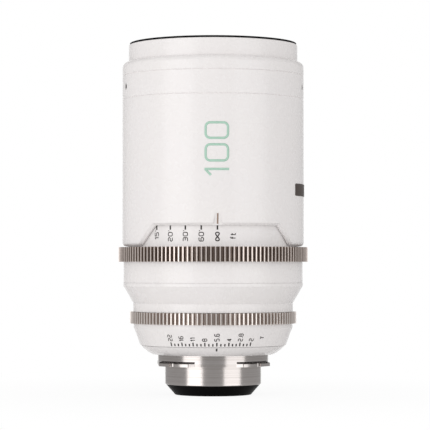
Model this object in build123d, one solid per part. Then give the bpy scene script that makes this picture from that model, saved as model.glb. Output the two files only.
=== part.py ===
from build123d import *

import math
import os

# A cinema prime lens. Lengths are in millimetres and angles in degrees. The origin is the centre of
# the mount's flange seat, +Z runs to the front of the lens and -Y is the side with the index marks.
# An azimuth is counted about +Z from the index side.

# Fits, seams and cuts
running_gap = 0.05  # radial, between a turning or sliding piece and its guide
seat_gap = 0.03  # radial, between two fixed pieces
face_gap = 0.1  # along the axis, between a turning face and a fixed one
seam = 0.2  # along the axis, the fine line seen beside a turning ring
overrun = 1.0  # how far a cut runs past the piece
index_side = -90.0  # the index side as an angle from +X

# Bayonet mount, with the 54 mm register of cinema cameras
mount_barrel_radius = 27.0
mount_barrel_length = 10.6
mount_barrel_chamfer = 0.3
mount_barrel_wall = 2.4
mount_seat_width = 4.0
mount_neck_length = 6.2
lobe_count = 4
lobe_projection = 3.5
lobe_thickness = 1.7
lobe_rise = 1.1  # of its slanting face, from its edge to the neck
lobe_root_span = 50.0
lobe_edge_span = 38.0
lobe_corner = 0.9
lobe_notch_radius = 1.65
lobe_notch_inset = 0.5
shim_count = 2
shim_thickness = 0.15
mount_screw_count = 6
mount_screw_inset = 1.9
mount_screw_radius = 1.0
mount_screw_head_radius = 1.6
mount_screw_head_length = 1.1
mount_screw_bite = 3.0

# Rear baffle
baffle_step = 0.5
baffle_taper = 5.1
baffle_length = 5.85
baffle_end_width = 3.2
baffle_lip = 0.9
baffle_wall = 1.9
baffle_spigot_length = 2.4

# Fixed rear ring
rear_ring_length = 4.9
rear_ring_low_step = 2.9
rear_ring_top_step = 0.6
rear_ring_bulge_height = 0.45
rear_seat_step = 1.2
rear_seat_length = 3.1

# Gear teeth of both driven rings
gear_module = 0.8
gear_pressure_angle = 20.0
gear_root_clearance = 0.2
gear_wall = 1.4
iris_gear_turn_share = 0.75
focus_gear_turn_share = 0.5

# Aperture ring
iris_ring_step = 0.3
iris_cone_rise = 3.7
iris_cone_length = 9.8
iris_land_length = 2.4
iris_gear_rise = 1.4
iris_gear_face = 6.35
iris_open_angle = -27.9
iris_closed_angle = 36.9

# Fixed middle barrel
neck_step = 1.4
neck_length = 4.7
cone_length = 9.55
ridge_projection = 0.15
ridge_length = 1.8
hub_gap = 0.4
hub_wall = 2.1
hub_length = 6.8
hub_floor = 1.9

# Focus ring, its gear and its scale ring
focus_ring_step = 0.7
focus_skirt_length = 11.65
focus_gear_rise = 2.1
focus_gear_face = 8.15
focus_web_length = 12.0
focus_spigot_gap = 0.7
focus_spigot_wall = 1.8
focus_spigot_length = 3.9
scale_ring_wall = 1.9
scale_ring_gap = 0.5
scale_ring_length = 21.0
focus_throw = 188.0
focus_lead_length = 19.78022

# Front housing
housing_wall = 2.6
housing_gap = 0.5
housing_corner = 2.1
housing_lip_height = 2.5
housing_lip_gap = 0.2
window_height = 11.1
window_top_angle = 42.8
window_low_angle = 55.5
window_corner = 2.2
window_bevel = 1.3
index_ramp_length = 7.0
index_ramp_top_width = 2.7
index_ramp_low_width = 5.5
groove_chamfer = 0.35

# Clamp ring, shoulder ring, front ring and filter ring
clamp_length = 13.15
clamp_spigot_length = 3.0
clamp_screw_azimuths = (-105.0, -75.0, 75.0, 105.0)
clamp_screw_radius = 1.7
clamp_screw_length = 5.0
clamp_screw_height = 6.3
shoulder_length = 7.65
shoulder_corner = 3.0
front_ring_step = 3.5
front_ring_length = 9.7
front_ring_chamfer = 0.3
rim_step = 0.6
rim_projection = 1.1
filter_step = 0.66
filter_spigot_length = 3.7

# Chassis barrel
barrel_step = 2.6
barrel_wall = 3.4
barrel_web_length = 3.6
barrel_relief_step = 2.6
iris_shelf_length = 3.0
flange_length = 6.0
housing_screw_count = 6
housing_screw_inset = 1.95
housing_screw_radius = 1.0
housing_screw_head_radius = 1.7
housing_screw_head_length = 1.5
housing_screw_bite = 4.5

# Cam barrel and what drives it
cam_barrel_wall = 4.0
washer_thickness = 0.8
washer_margin = 0.25
drive_screw_count = 3
drive_screw_radius = 1.25
drive_screw_head_radius = 2.2
drive_screw_head_length = 1.6
drive_screw_sink = 0.3
drive_screw_tip_margin = 0.5

# Focus cell, its followers and its glass
follower_count = 3
follower_azimuth = 60.0
follower_height_above_web = 6.5
guide_roller_radius = 2.5
cam_roller_radius = 2.0
follower_pin_radius = 1.2
follower_head_radius = 1.9
follower_head_length = 0.9
slot_end_margin = 0.5
cell_wall = 2.6
cell_lip = 2.6
cell_lip_length = 2.5
cell_parking_gap = 3.5
focus_rear_edge = 7.0
focus_spacer_length = 40.0
focus_front_edge = 9.0
focus_low_bulge = 1.5
focus_high_bulge = 4.5
retainer_length = 2.5
retainer_recess = 1.0
spacer_wall = 1.7
glass_rim = 2.2

# Iris
blade_count = 10
blade_thickness = 0.15
blade_pitch = 0.24
blade_width = 8.2
blade_tail_angle = -7.0
blade_tip_angle = 134.0
blade_ear_radius = 1.3
blade_pin_radius = 0.5
blade_lever_length = 7.2
pivot_inset = 2.6
closed_aperture_radius = 1.95
iris_base_length = 2.2
iris_cam_length = 3.6
iris_retainer_length = 1.6
iris_drive_pin_radius = 1.5
iris_drive_azimuth = 180.0
iris_drive_bite = 1.4
cam_slot_gap = 0.08

# Stop screws of the two turning rings
stop_azimuth = 90.0
stop_screw_radius = 1.0
stop_screw_bite = 1.8
stop_head_radius = 1.5
stop_head_length = 1.5
stop_groove_margin = 0.2
iris_stop_height = 4.4
focus_stop_height = 3.9

# Rear cell and its glass
rear_cell_gap = 0.4
rear_cell_wall = 2.2
rear_cell_flange_width = 2.8
rear_cell_flange_length = 2.1
rear_cell_end_gap = 0.4
rear_inner_edge = 5.0
rear_middle_edge = 6.0
rear_outer_edge = 5.0
rear_spacer_length = 3.0
rear_bulge = 1.2
rear_cell_lip = 2.0
rear_cell_lip_length = 2.0

# Front cell and its glass
front_cell_step = 4.2
front_cell_wall = 2.4
front_cell_flange_length = 4.0
front_cell_lip = 3.0
front_cell_lip_length = 3.0
front_cell_gap = 5.895
front_retainer_recess = 4.0
front_edge = 8.0
front_low_bulge = -3.5
front_high_bulge = 5.6
cylinder_bulge = 3.2
front_spacer_length = 11.0
cylinder_edge = 7.0
middle_spacer_length = 9.0

# Heights worked out from the lengths, from the mount to the housing
rear_ring_z = mount_neck_length
iris_ring_z = rear_ring_z + rear_ring_length + seam
iris_gear_z = iris_ring_z + iris_cone_length + iris_land_length
iris_top_z = iris_gear_z + iris_gear_face
middle_z = iris_top_z + seam
cone_z = middle_z + neck_length
ridge_z = cone_z + cone_length
middle_top_z = ridge_z + ridge_length
focus_z = middle_top_z + seam
focus_gear_z = focus_z + focus_skirt_length
focus_top_z = focus_gear_z + focus_gear_face
housing_z = focus_top_z + housing_gap

# Heights of the inner pieces
barrel_low_z = mount_neck_length + shim_count * shim_thickness
barrel_web_z = barrel_low_z + barrel_web_length
blade_space = blade_count * blade_pitch
iris_drive_z = iris_gear_z + iris_gear_face / 2
iris_cam_z = iris_drive_z - iris_cam_length / 2
blades_z = iris_cam_z - face_gap - blade_space
iris_base_z = blades_z - iris_base_length
iris_shelf_z = iris_base_z - iris_shelf_length
iris_retainer_z = iris_cam_z + iris_cam_length + face_gap
cell_z = iris_retainer_z + iris_retainer_length + cell_parking_gap
cell_rear_glass_z = cell_z + cell_lip_length
cell_spacer_z = cell_rear_glass_z + focus_rear_edge
cell_front_glass_z = cell_spacer_z + focus_spacer_length
cell_retainer_z = cell_front_glass_z + focus_front_edge
cell_top_z = cell_retainer_z + retainer_length + retainer_recess
focus_travel = focus_throw / 360 * focus_lead_length
follower_z = focus_top_z + follower_height_above_web
washer_z = middle_top_z + hub_floor
cam_barrel_z = washer_z + washer_thickness + face_gap
flange_z = cell_top_z + focus_travel + face_gap
flange_top_z = flange_z + flange_length
cam_barrel_top_z = flange_z - washer_thickness - face_gap
lip_top_z = flange_top_z + housing_lip_height
web_z = focus_top_z - focus_web_length
rear_cell_top_z = iris_base_z - rear_cell_end_gap
rear_inner_top_z = rear_cell_top_z - rear_cell_lip_length
rear_middle_top_z = rear_inner_top_z - rear_inner_edge - rear_spacer_length
rear_outer_top_z = rear_middle_top_z - rear_middle_edge - rear_spacer_length
rear_retainer_z = rear_outer_top_z - rear_outer_edge - retainer_length
rear_cell_z = -mount_barrel_length + baffle_spigot_length + rear_cell_end_gap

# Heights of the front group and of the rings round it, which end the housing
front_cell_lip_z = lip_top_z + front_cell_flange_length + front_cell_gap
third_glass_z = front_cell_lip_z + front_cell_lip_length
second_glass_z = third_glass_z + cylinder_edge + middle_spacer_length
front_glass_z = second_glass_z + cylinder_edge + front_spacer_length
front_glass_top_z = front_glass_z + front_edge
front_cell_top_z = front_glass_top_z + retainer_length + front_retainer_recess
front_top_z = front_cell_top_z + filter_spigot_length
front_ring_z = front_top_z - front_ring_length
shoulder_z = front_ring_z - shoulder_length
clamp_z = shoulder_z - clamp_length

# Radii worked out outwards from the mount, each from the piece inside it
mount_bore_radius = mount_barrel_radius - mount_barrel_wall
mount_neck_radius = mount_barrel_radius + mount_seat_width
lobe_radius = mount_neck_radius + lobe_projection
mount_screw_circle_radius = mount_barrel_radius + mount_screw_inset
baffle_root_radius = mount_barrel_radius - baffle_step
baffle_tip_radius = baffle_root_radius - baffle_taper
baffle_opening_radius = baffle_tip_radius - baffle_end_width
rear_cell_radius = mount_bore_radius - rear_cell_gap
rear_cell_bore_radius = rear_cell_radius - rear_cell_wall
rear_cell_flange_radius = rear_cell_radius + rear_cell_flange_width
rear_seat_radius = mount_neck_radius + rear_seat_step
barrel_bore_radius = mount_neck_radius + barrel_step
barrel_radius = barrel_bore_radius + barrel_wall
barrel_relief_radius = barrel_bore_radius - barrel_relief_step
cam_barrel_radius = barrel_radius + cam_barrel_wall
hub_bore_radius = cam_barrel_radius + hub_gap
hub_radius = hub_bore_radius + hub_wall
neck_radius = hub_radius + neck_step
iris_ring_top_radius = neck_radius - iris_ring_step
iris_ring_low_radius = iris_ring_top_radius - iris_cone_rise
rear_ring_low_radius = mount_neck_radius + rear_ring_low_step
rear_ring_top_radius = iris_ring_low_radius - rear_ring_top_step
focus_spigot_radius = hub_radius + focus_spigot_gap + focus_spigot_wall
scale_ring_radius = focus_spigot_radius + scale_ring_wall
housing_bore_radius = scale_ring_radius + scale_ring_gap
housing_radius = housing_bore_radius + housing_wall
focus_ring_radius = housing_radius - focus_ring_step
cone_top_radius = focus_ring_radius
ridge_radius = cone_top_radius + ridge_projection
front_ring_radius = housing_radius - front_ring_step
rim_radius = front_ring_radius - rim_step
front_cell_radius = housing_bore_radius - front_cell_step
front_cell_bore_radius = front_cell_radius - front_cell_wall
filter_bore_radius = front_cell_bore_radius + filter_step
housing_lip_radius = front_cell_radius + housing_lip_gap
housing_screw_circle_radius = housing_bore_radius - housing_screw_inset
inner_disc_radius = barrel_bore_radius - running_gap
cell_bore_radius = barrel_bore_radius - cell_wall

# Gears, with as many teeth as their rings have room for
gear_depth = gear_module + gear_root_clearance
iris_gear_teeth = round(2 * (iris_ring_top_radius + iris_gear_rise) / gear_module)
iris_pitch_radius = gear_module * iris_gear_teeth / 2
iris_gear_seat = iris_pitch_radius - gear_depth - gear_wall
focus_gear_teeth = round(2 * (focus_ring_radius + focus_gear_rise) / gear_module)
focus_pitch_radius = gear_module * focus_gear_teeth / 2
focus_gear_seat = focus_pitch_radius - gear_depth - gear_wall

# The iris worked out from the barrel's bore
pivot_circle_radius = barrel_bore_radius - pivot_inset
blade_outer_radius = pivot_circle_radius - blade_ear_radius
blade_inner_radius = blade_outer_radius - blade_width
blade_chord_share = (blade_inner_radius - closed_aperture_radius) / (2 * pivot_circle_radius)
full_swing = 2 * math.degrees(math.asin(blade_chord_share))
iris_throw = iris_closed_angle - iris_open_angle
swing_per_turn = full_swing / iris_throw
resting_swing = -iris_open_angle * swing_per_turn
drive_pin_angle = 2 * math.degrees(math.asin(blade_lever_length / (2 * pivot_circle_radius)))

at_floor = (Align.CENTER, Align.CENTER, Align.MIN)


def polar(radius, angle, height):
    """The point at a radius and an angle from +X."""
    turn = math.radians(angle)
    return Vector(radius * math.cos(turn), radius * math.sin(turn), height)


def spun(azimuth):
    """The turn that brings +X to an azimuth."""
    return Rot(0, 0, index_side + azimuth)


def around(count, first):
    """The azimuths of count evenly spaced things."""
    return [first + 360 * number / count for number in range(count)]


def turned(*points):
    """A body turned about the lens axis from a closed outline of (radius, height) points."""
    outline = Polyline(*[(radius, 0, height) for radius, height in points], close=True)
    return revolve(make_face(outline), Axis.Z)


def ring(inner, outer, low, high):
    """A plain ring between two radii and two heights."""
    return turned((inner, low), (outer, low), (outer, high), (inner, high))


def disc(radius, low, high):
    """A round disc on the lens axis between two heights."""
    return Pos(0, 0, low) * Cylinder(radius, high - low, align=at_floor)


def upright_rod(radius, circle, azimuth, low, high):
    """A rod parallel to the lens axis."""
    return spun(azimuth) * Pos(circle, 0, low) * Cylinder(radius, high - low, align=at_floor)


def radial_rod(radius, azimuth, inner, outer, height):
    """A rod that points away from the lens axis."""
    rod = Cylinder(radius, outer - inner, align=at_floor)
    return spun(azimuth) * Pos(inner, 0, height) * Rot(0, 90, 0) * rod


def sector_face(inner, outer, start, end, height):
    """A flat share of a ring between two azimuths."""
    arcs = [CenterArc((0, 0, height), radius, index_side + start, end - start) for radius in (inner, outer)]
    sides = [Line(arcs[0] @ place, arcs[1] @ place) for place in (0, 1)]
    return make_face([*arcs, *sides])


def sector(inner, outer, start, end, low, high):
    """A share of a ring between two azimuths and two heights."""
    return extrude(sector_face(inner, outer, start, end, low), high - low, dir=(0, 0, 1))


def circles_at(body, radius, height):
    """The round edges of a turned body at one radius and height."""
    near = seat_gap / 2
    rounds = body.edges().filter_by(GeomType.CIRCLE)
    return rounds.filter_by(lambda edge: abs(edge.radius - radius) + abs(edge.center().Z - height) < near)


def uprights_at(body, radius):
    """The edges parallel to the lens axis at one radius."""
    near = seat_gap / 2
    uprights = body.edges().filter_by(Axis.Z)
    return uprights.filter_by(lambda edge: abs(math.hypot(edge.center().X, edge.center().Y) - radius) < near)


def bulge_middle(clear, edge, bulge):
    """The point half way out on a spherical face that bulges over its rim, or sinks below it."""
    sphere = (clear**2 + bulge**2) / (2 * bulge)
    height = math.copysign(math.sqrt(sphere**2 - (clear / 2) ** 2), bulge) - sphere + bulge
    return (clear / 2, 0, edge + height)


def element(radius, low, high, low_bulge, high_bulge):
    """A round glass element with flat rims; a positive bulge stands out of its rim."""
    clear = radius - glass_rim
    outline = [
        ThreePointArc((0, 0, low - low_bulge), bulge_middle(clear, low, -low_bulge), (clear, 0, low)),
        Polyline((clear, 0, low), (radius, 0, low), (radius, 0, high), (clear, 0, high)),
        ThreePointArc((clear, 0, high), bulge_middle(clear, high, high_bulge), (0, 0, high + high_bulge)),
        Line((0, 0, high + high_bulge), (0, 0, low - low_bulge)),
    ]
    return revolve(make_face(outline), Axis.Z)


def lying_cylinder(half_width, rise, crown_z):
    """The cylinder along Y with its crown at a height, that falls by its rise at its half width."""
    curve = (half_width**2 + rise**2) / (2 * rise)
    return Pos(0, 0, crown_z - curve) * Rot(90, 0, 0) * Cylinder(curve, 4 * half_width)


def cylindrical_element(radius, low, high, bulge, sunk):
    """A round element with flat rims whose upper face curves across X only."""
    body = disc(radius, low, high)
    clear = radius - glass_rim
    if sunk:
        room = disc(clear, high - 2 * bulge, high + overrun)
        curve = (radius**2 + bulge**2) / (2 * bulge)
        dish = lying_cylinder(radius, bulge, high - bulge + 2 * curve)
        return body - (room & dish)
    crown = disc(clear, high, high + 2 * bulge) & lying_cylinder(radius, bulge, high + bulge)
    return body + crown


# Mount end


def bayonet_mount():
    """The steel bayonet: barrel, neck, and notched lobes on the flange seat."""
    body = turned(
        (mount_bore_radius, -mount_barrel_length),
        (mount_barrel_radius - mount_barrel_chamfer, -mount_barrel_length),
        (mount_barrel_radius, mount_barrel_chamfer - mount_barrel_length),
        (mount_barrel_radius, 0),
        (mount_neck_radius, 0),
        (mount_neck_radius, mount_neck_length),
        (mount_bore_radius, mount_neck_length),
    )
    notch_circle = lobe_radius - lobe_notch_inset
    for azimuth in around(lobe_count, 180 / lobe_count):
        body += mount_lobe(azimuth)
        body -= upright_rod(lobe_notch_radius, notch_circle, azimuth, -overrun, mount_neck_length + overrun)
    for azimuth in around(mount_screw_count, 0):
        hole = mount_screw_radius + seat_gap
        head = mount_screw_head_radius + seat_gap
        body -= upright_rod(hole, mount_screw_circle_radius, azimuth, -overrun, mount_neck_length + overrun)
        body -= upright_rod(head, mount_screw_circle_radius, azimuth, -overrun, mount_screw_head_length)
    return body


def mount_lobe(azimuth):
    """One lobe: its ends slant out from the neck, and its upper face slants down to its edge."""
    root = mount_neck_radius - overrun
    arcs = []
    for radius, span in ((root, lobe_root_span), (lobe_radius, lobe_edge_span)):
        arcs.append(CenterArc((0, 0, 0), radius, index_side + azimuth - span / 2, span))
    ends = [Line(arcs[0] @ end, arcs[1] @ end) for end in (0, 1)]
    blank = extrude(make_face(arcs + ends), mount_neck_length, dir=(0, 0, 1))
    blank = fillet(uprights_at(blank, lobe_radius), lobe_corner)
    wedge = turned(
        (root, 0),
        (lobe_radius + overrun, 0),
        (lobe_radius + overrun, lobe_thickness),
        (lobe_radius, lobe_thickness),
        (mount_neck_radius, lobe_thickness + lobe_rise),
        (root, lobe_thickness + lobe_rise),
    )
    return blank & wedge


def mount_shims():
    """The thin rings that set the flange distance, one on the other."""
    shims = []
    for number in range(shim_count):
        low = mount_neck_length + number * shim_thickness
        shim = ring(rear_cell_flange_radius + running_gap, mount_neck_radius, low, low + shim_thickness)
        for azimuth in around(mount_screw_count, 0):
            hole = mount_screw_radius + seat_gap
            shim -= upright_rod(hole, mount_screw_circle_radius, azimuth, low - overrun, low + overrun)
        shims.append(shim)
    return shims


def mount_screws():
    """The screws that hold the bayonet and its shims on the chassis barrel."""
    screws = []
    circle = mount_screw_circle_radius
    for azimuth in around(mount_screw_count, 0):
        screw = upright_rod(mount_screw_radius, circle, azimuth, 0, barrel_low_z + mount_screw_bite)
        screw += upright_rod(mount_screw_head_radius, circle, azimuth, 0, mount_screw_head_length)
        screws.append(screw)
    return screws


def rear_baffle():
    """The black cone below the mount barrel, with its spigot in the barrel's bore."""
    low = -mount_barrel_length - baffle_length
    spigot = mount_bore_radius - seat_gap
    top = -mount_barrel_length + baffle_spigot_length
    return turned(
        (baffle_opening_radius, low),
        (baffle_tip_radius, low),
        (baffle_root_radius, -mount_barrel_length),
        (spigot, -mount_barrel_length),
        (spigot, top),
        (spigot - baffle_wall, top),
        (spigot - baffle_wall, -mount_barrel_length),
        (baffle_opening_radius, low + baffle_lip),
    )


def rear_ring():
    """The white fixed ring beside the mount: a shallow dome that carries the aperture index."""
    low = rear_ring_z
    top = low + rear_ring_length
    step = low + rear_seat_length
    seat = rear_seat_radius + seat_gap
    bore = barrel_radius + seat_gap
    width = rear_ring_top_radius - rear_ring_low_radius
    chord = math.hypot(width, rear_ring_length)
    crown = (
        (rear_ring_low_radius + rear_ring_top_radius) / 2 + rear_ring_bulge_height * rear_ring_length / chord,
        0,
        (low + top) / 2 - rear_ring_bulge_height * width / chord,
    )
    dome = ThreePointArc((rear_ring_low_radius, 0, low), crown, (rear_ring_top_radius, 0, top))
    rest = Polyline(
        (rear_ring_top_radius, 0, top),
        (bore, 0, top),
        (bore, 0, step),
        (seat, 0, step),
        (seat, 0, low),
        (rear_ring_low_radius, 0, low),
    )
    return revolve(make_face([dome, rest]), Axis.Z)


# Gears


def gear_ring(teeth, turn_share, bore, low, face):
    """A ring gear with straight teeth, set over a driven ring."""
    pitch_radius = gear_module * teeth / 2
    tip = pitch_radius + gear_module
    root = pitch_radius - gear_depth
    slope = math.tan(math.radians(gear_pressure_angle)) / (math.pi * gear_module)
    tip_half_share = 1 / 4 - slope * gear_module
    root_half_share = 1 / 4 + slope * gear_depth
    corners = []
    for tooth in range(teeth):
        for radius, share in (
            (root, -root_half_share),
            (tip, -tip_half_share),
            (tip, tip_half_share),
            (root, root_half_share),
        ):
            turn = (tooth + turn_share + share) * 360 / teeth
            corners.append(polar(radius, index_side + turn, low))
    blank = extrude(make_face(Polyline(*corners, close=True)), face, dir=(0, 0, 1))
    return blank - disc(bore, low - overrun, low + face + overrun)


# Aperture ring


def iris_ring():
    """The white aperture ring: its scale cone, the gear's seat and the stop groove in its bore."""
    bore = barrel_radius + running_gap
    body = turned(
        (bore, iris_ring_z),
        (iris_ring_low_radius, iris_ring_z),
        (iris_ring_top_radius, iris_ring_z + iris_cone_length),
        (iris_ring_top_radius, iris_gear_z),
        (iris_gear_seat, iris_gear_z),
        (iris_gear_seat, iris_top_z),
        (bore, iris_top_z),
    )
    body -= stop_groove(barrel_radius, iris_stop_z(), -iris_closed_angle, -iris_open_angle)
    pin = iris_drive_pin_radius + seat_gap
    return body - radial_rod(pin, iris_drive_azimuth, barrel_radius - overrun, iris_gear_seat, iris_drive_z)


def iris_gear():
    """The taupe gear on the aperture ring."""
    return gear_ring(
        iris_gear_teeth, iris_gear_turn_share, iris_gear_seat + seat_gap, iris_gear_z, iris_gear_face
    )


def iris_stop_z():
    """The height of the aperture ring's stop screw."""
    return iris_ring_z + iris_stop_height


def focus_stop_z():
    """The height of the focus ring's stop screw."""
    return focus_z + focus_stop_height


def stop_groove(seat, height, first, last):
    """The groove in a turning ring's bore that a stop screw's head runs in, from end to end."""
    depth = stop_head_length + stop_groove_margin
    half = stop_head_radius + stop_groove_margin
    head_angle = math.degrees(math.asin(stop_head_radius / seat))
    start = stop_azimuth + first - head_angle
    end = stop_azimuth + last + head_angle
    inner = seat - overrun
    return sector(inner, seat + depth, start, end, height - half, height + half)


def stop_screws():
    """The stop screws of both turning rings, with their heads in the rings' grooves."""
    screws = []
    for seat, height in ((barrel_radius, iris_stop_z()), (hub_radius, focus_stop_z())):
        screw = radial_rod(stop_screw_radius, stop_azimuth, seat - stop_screw_bite, seat, height)
        screw += radial_rod(stop_head_radius, stop_azimuth, seat, seat + stop_head_length, height)
        screws.append(screw)
    return screws


def stop_hole(seat, height):
    """The hole of a stop screw in the fixed piece."""
    hole = stop_screw_radius + seat_gap
    return radial_rod(hole, stop_azimuth, seat - stop_screw_bite - stop_groove_margin, seat + overrun, height)


# Iris


def iris_base():
    """The fixed ring under the blades, with a hole for each blade's pivot pin."""
    top = iris_base_z + iris_base_length
    body = ring(blade_inner_radius, barrel_bore_radius - seat_gap, iris_base_z, top)
    hole = blade_pin_radius + running_gap
    for azimuth in around(blade_count, 0):
        body -= upright_rod(hole, pivot_circle_radius, azimuth, iris_base_z - overrun, top + overrun)
    return body


def blade_turn(azimuth, swing):
    """The place of a blade that is drawn for azimuth 0 and swung about its pivot."""
    return Rot(0, 0, azimuth) * swing_about_pivot(swing)


def swing_about_pivot(swing):
    """The turn of a blade about the pivot at azimuth 0."""
    pivot = polar(pivot_circle_radius, index_side, 0)
    return Pos(*pivot) * Rot(0, 0, swing) * Pos(*-pivot)


def iris_blade(number):
    """One crescent blade at rest, a pivot pin under its ear and a drive pin above it."""
    low = blades_z + number * blade_pitch
    top = low + blade_thickness
    ear_edge = pivot_circle_radius + blade_ear_radius
    ear_share = math.degrees(blade_ear_radius / pivot_circle_radius)
    crescent = sector(blade_inner_radius, blade_outer_radius, blade_tail_angle, blade_tip_angle, low, top)
    middle = (blade_inner_radius + blade_outer_radius) / 2
    ear = sector(middle, ear_edge, 0, drive_pin_angle, low, top)
    body = crescent + ear
    for angle in (0, drive_pin_angle):
        body += upright_rod(blade_ear_radius, pivot_circle_radius, angle, low, top)
        body += sector(middle, pivot_circle_radius, angle - ear_share, angle + ear_share, low, top)
    body += upright_rod(blade_pin_radius, pivot_circle_radius, 0, iris_base_z + face_gap, top)
    cam_top = iris_cam_z + iris_cam_length - face_gap
    body += upright_rod(blade_pin_radius, pivot_circle_radius, drive_pin_angle, low, cam_top)
    azimuth = 360 * number / blade_count
    return blade_turn(azimuth, resting_swing) * body


def drive_pin_place(swing):
    """Where a blade's drive pin stands, for the blade at azimuth 0."""
    pivot = polar(pivot_circle_radius, index_side, 0)
    arm = polar(pivot_circle_radius, index_side + drive_pin_angle, 0) - pivot
    return pivot + arm.rotate(Axis.Z, swing)


def cam_slot_arc(azimuth):
    """The arc of a drive pin's path as the turning cam ring sees it: open, half closed and closed."""
    places = []
    for share in (0, 1 / 2, 1):
        turn = iris_open_angle + share * iris_throw
        places.append(drive_pin_place(share * full_swing).rotate(Axis.Z, azimuth - turn))
    return ThreePointArc(*places)


def iris_cam_ring():
    """The ring inside the chassis barrel that swings the blades by its spiral slots."""
    top = iris_cam_z + iris_cam_length
    body = ring(blade_inner_radius, inner_disc_radius, iris_cam_z, top)
    width = 2 * (blade_pin_radius + cam_slot_gap)
    for azimuth in around(blade_count, 0):
        slot = extrude(SlotArc(cam_slot_arc(azimuth), width), iris_cam_length + 2 * overrun, dir=(0, 0, 1))
        body -= Pos(0, 0, iris_cam_z - overrun) * slot
    pin = iris_drive_pin_radius + seat_gap
    inner = inner_disc_radius - iris_drive_bite
    return body - radial_rod(pin, iris_drive_azimuth, inner, barrel_radius, iris_drive_z)


def iris_retainer():
    """The ring that keeps the cam ring down on the blades."""
    top = iris_retainer_z + iris_retainer_length
    return ring(blade_inner_radius, barrel_bore_radius - seat_gap, iris_retainer_z, top)


def iris_drive_pin():
    """The pin that carries the aperture ring's turn through the chassis barrel to the cam ring."""
    inner = inner_disc_radius - iris_drive_bite + face_gap
    return radial_rod(iris_drive_pin_radius, iris_drive_azimuth, inner, iris_gear_seat, iris_drive_z)


# Fixed middle barrel and chassis barrel


def middle_barrel():
    """The white fixed barrel between the two gears, with the hub that the focus ring turns on."""
    bore = barrel_radius + seat_gap
    hub_top = middle_top_z + hub_length
    body = turned(
        (bore, middle_z),
        (neck_radius, middle_z),
        (neck_radius, cone_z),
        (cone_top_radius, ridge_z),
        (ridge_radius, ridge_z),
        (ridge_radius, middle_top_z),
        (hub_radius, middle_top_z),
        (hub_radius, hub_top),
        (hub_bore_radius, hub_top),
        (hub_bore_radius, washer_z),
        (bore, washer_z),
    )
    return body - stop_hole(hub_radius, focus_stop_z())


def main_barrel():
    """The chassis barrel: web for the mount, shelf for the iris, guide slots and front flange."""
    step_z = rear_ring_z + rear_seat_length
    flange = housing_bore_radius - seat_gap
    iris_pocket = rear_cell_radius + running_gap
    web = rear_cell_flange_z()
    body = turned(
        (rear_cell_flange_radius + seat_gap, barrel_low_z),
        (rear_seat_radius, barrel_low_z),
        (rear_seat_radius, step_z),
        (barrel_radius, step_z),
        (barrel_radius, flange_z),
        (flange, flange_z),
        (flange, flange_top_z),
        (barrel_bore_radius, flange_top_z),
        (barrel_bore_radius, iris_base_z),
        (iris_pocket, iris_base_z),
        (iris_pocket, iris_shelf_z),
        (barrel_relief_radius, iris_shelf_z),
        (barrel_relief_radius, barrel_web_z),
        (iris_pocket, barrel_web_z),
        (iris_pocket, web),
        (rear_cell_flange_radius + seat_gap, web),
    )
    for azimuth in around(mount_screw_count, 0):
        hole = mount_screw_radius + seat_gap
        top = barrel_low_z + mount_screw_bite + face_gap
        body -= upright_rod(hole, mount_screw_circle_radius, azimuth, barrel_low_z - overrun, top)
    for azimuth in around(housing_screw_count, 180 / housing_screw_count):
        hole = housing_screw_radius + seat_gap
        low = flange_top_z - housing_screw_bite - face_gap
        body -= upright_rod(hole, housing_screw_circle_radius, azimuth, low, flange_top_z + overrun)
    for azimuth in around(follower_count, follower_azimuth):
        body -= guide_slot(azimuth)
    body -= stop_hole(barrel_radius, iris_stop_z())
    return body - iris_pin_slot()


def rear_cell_flange_z():
    """The face of the chassis barrel's web that the rear cell's flange rests on."""
    return mount_neck_length + rear_cell_flange_length


def guide_slot(azimuth):
    """A straight slot along the chassis barrel for one follower's inner roller."""
    half = guide_roller_radius + running_gap
    low = follower_z - slot_end_margin
    high = follower_z + focus_travel + slot_end_margin
    inner = barrel_bore_radius - overrun
    outer = barrel_radius + overrun
    slot = Box(outer - inner, 2 * half, high - low, align=(Align.MIN, Align.CENTER, Align.MIN))
    slot = spun(azimuth) * Pos(inner, 0, low) * slot
    for end in (low, high):
        slot += radial_rod(half, azimuth, inner, outer, end)
    return slot


def iris_pin_slot():
    """The slot round the chassis barrel that the iris drive pin swings in."""
    half = iris_drive_pin_radius + face_gap
    inner = barrel_bore_radius - overrun
    outer = barrel_radius + overrun
    start = iris_drive_azimuth + iris_open_angle - slot_end_angle()
    end = iris_drive_azimuth + iris_closed_angle + slot_end_angle()
    slot = sector(inner, outer, start, end, iris_drive_z - half, iris_drive_z + half)
    for azimuth in (start, end):
        slot += radial_rod(half, azimuth, inner, outer, iris_drive_z)
    return slot


def slot_end_angle():
    """The small turn that the iris drive pin has to spare at each end of its slot."""
    return math.degrees(slot_end_margin / barrel_bore_radius)


# Focus ring and cam barrel


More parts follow.
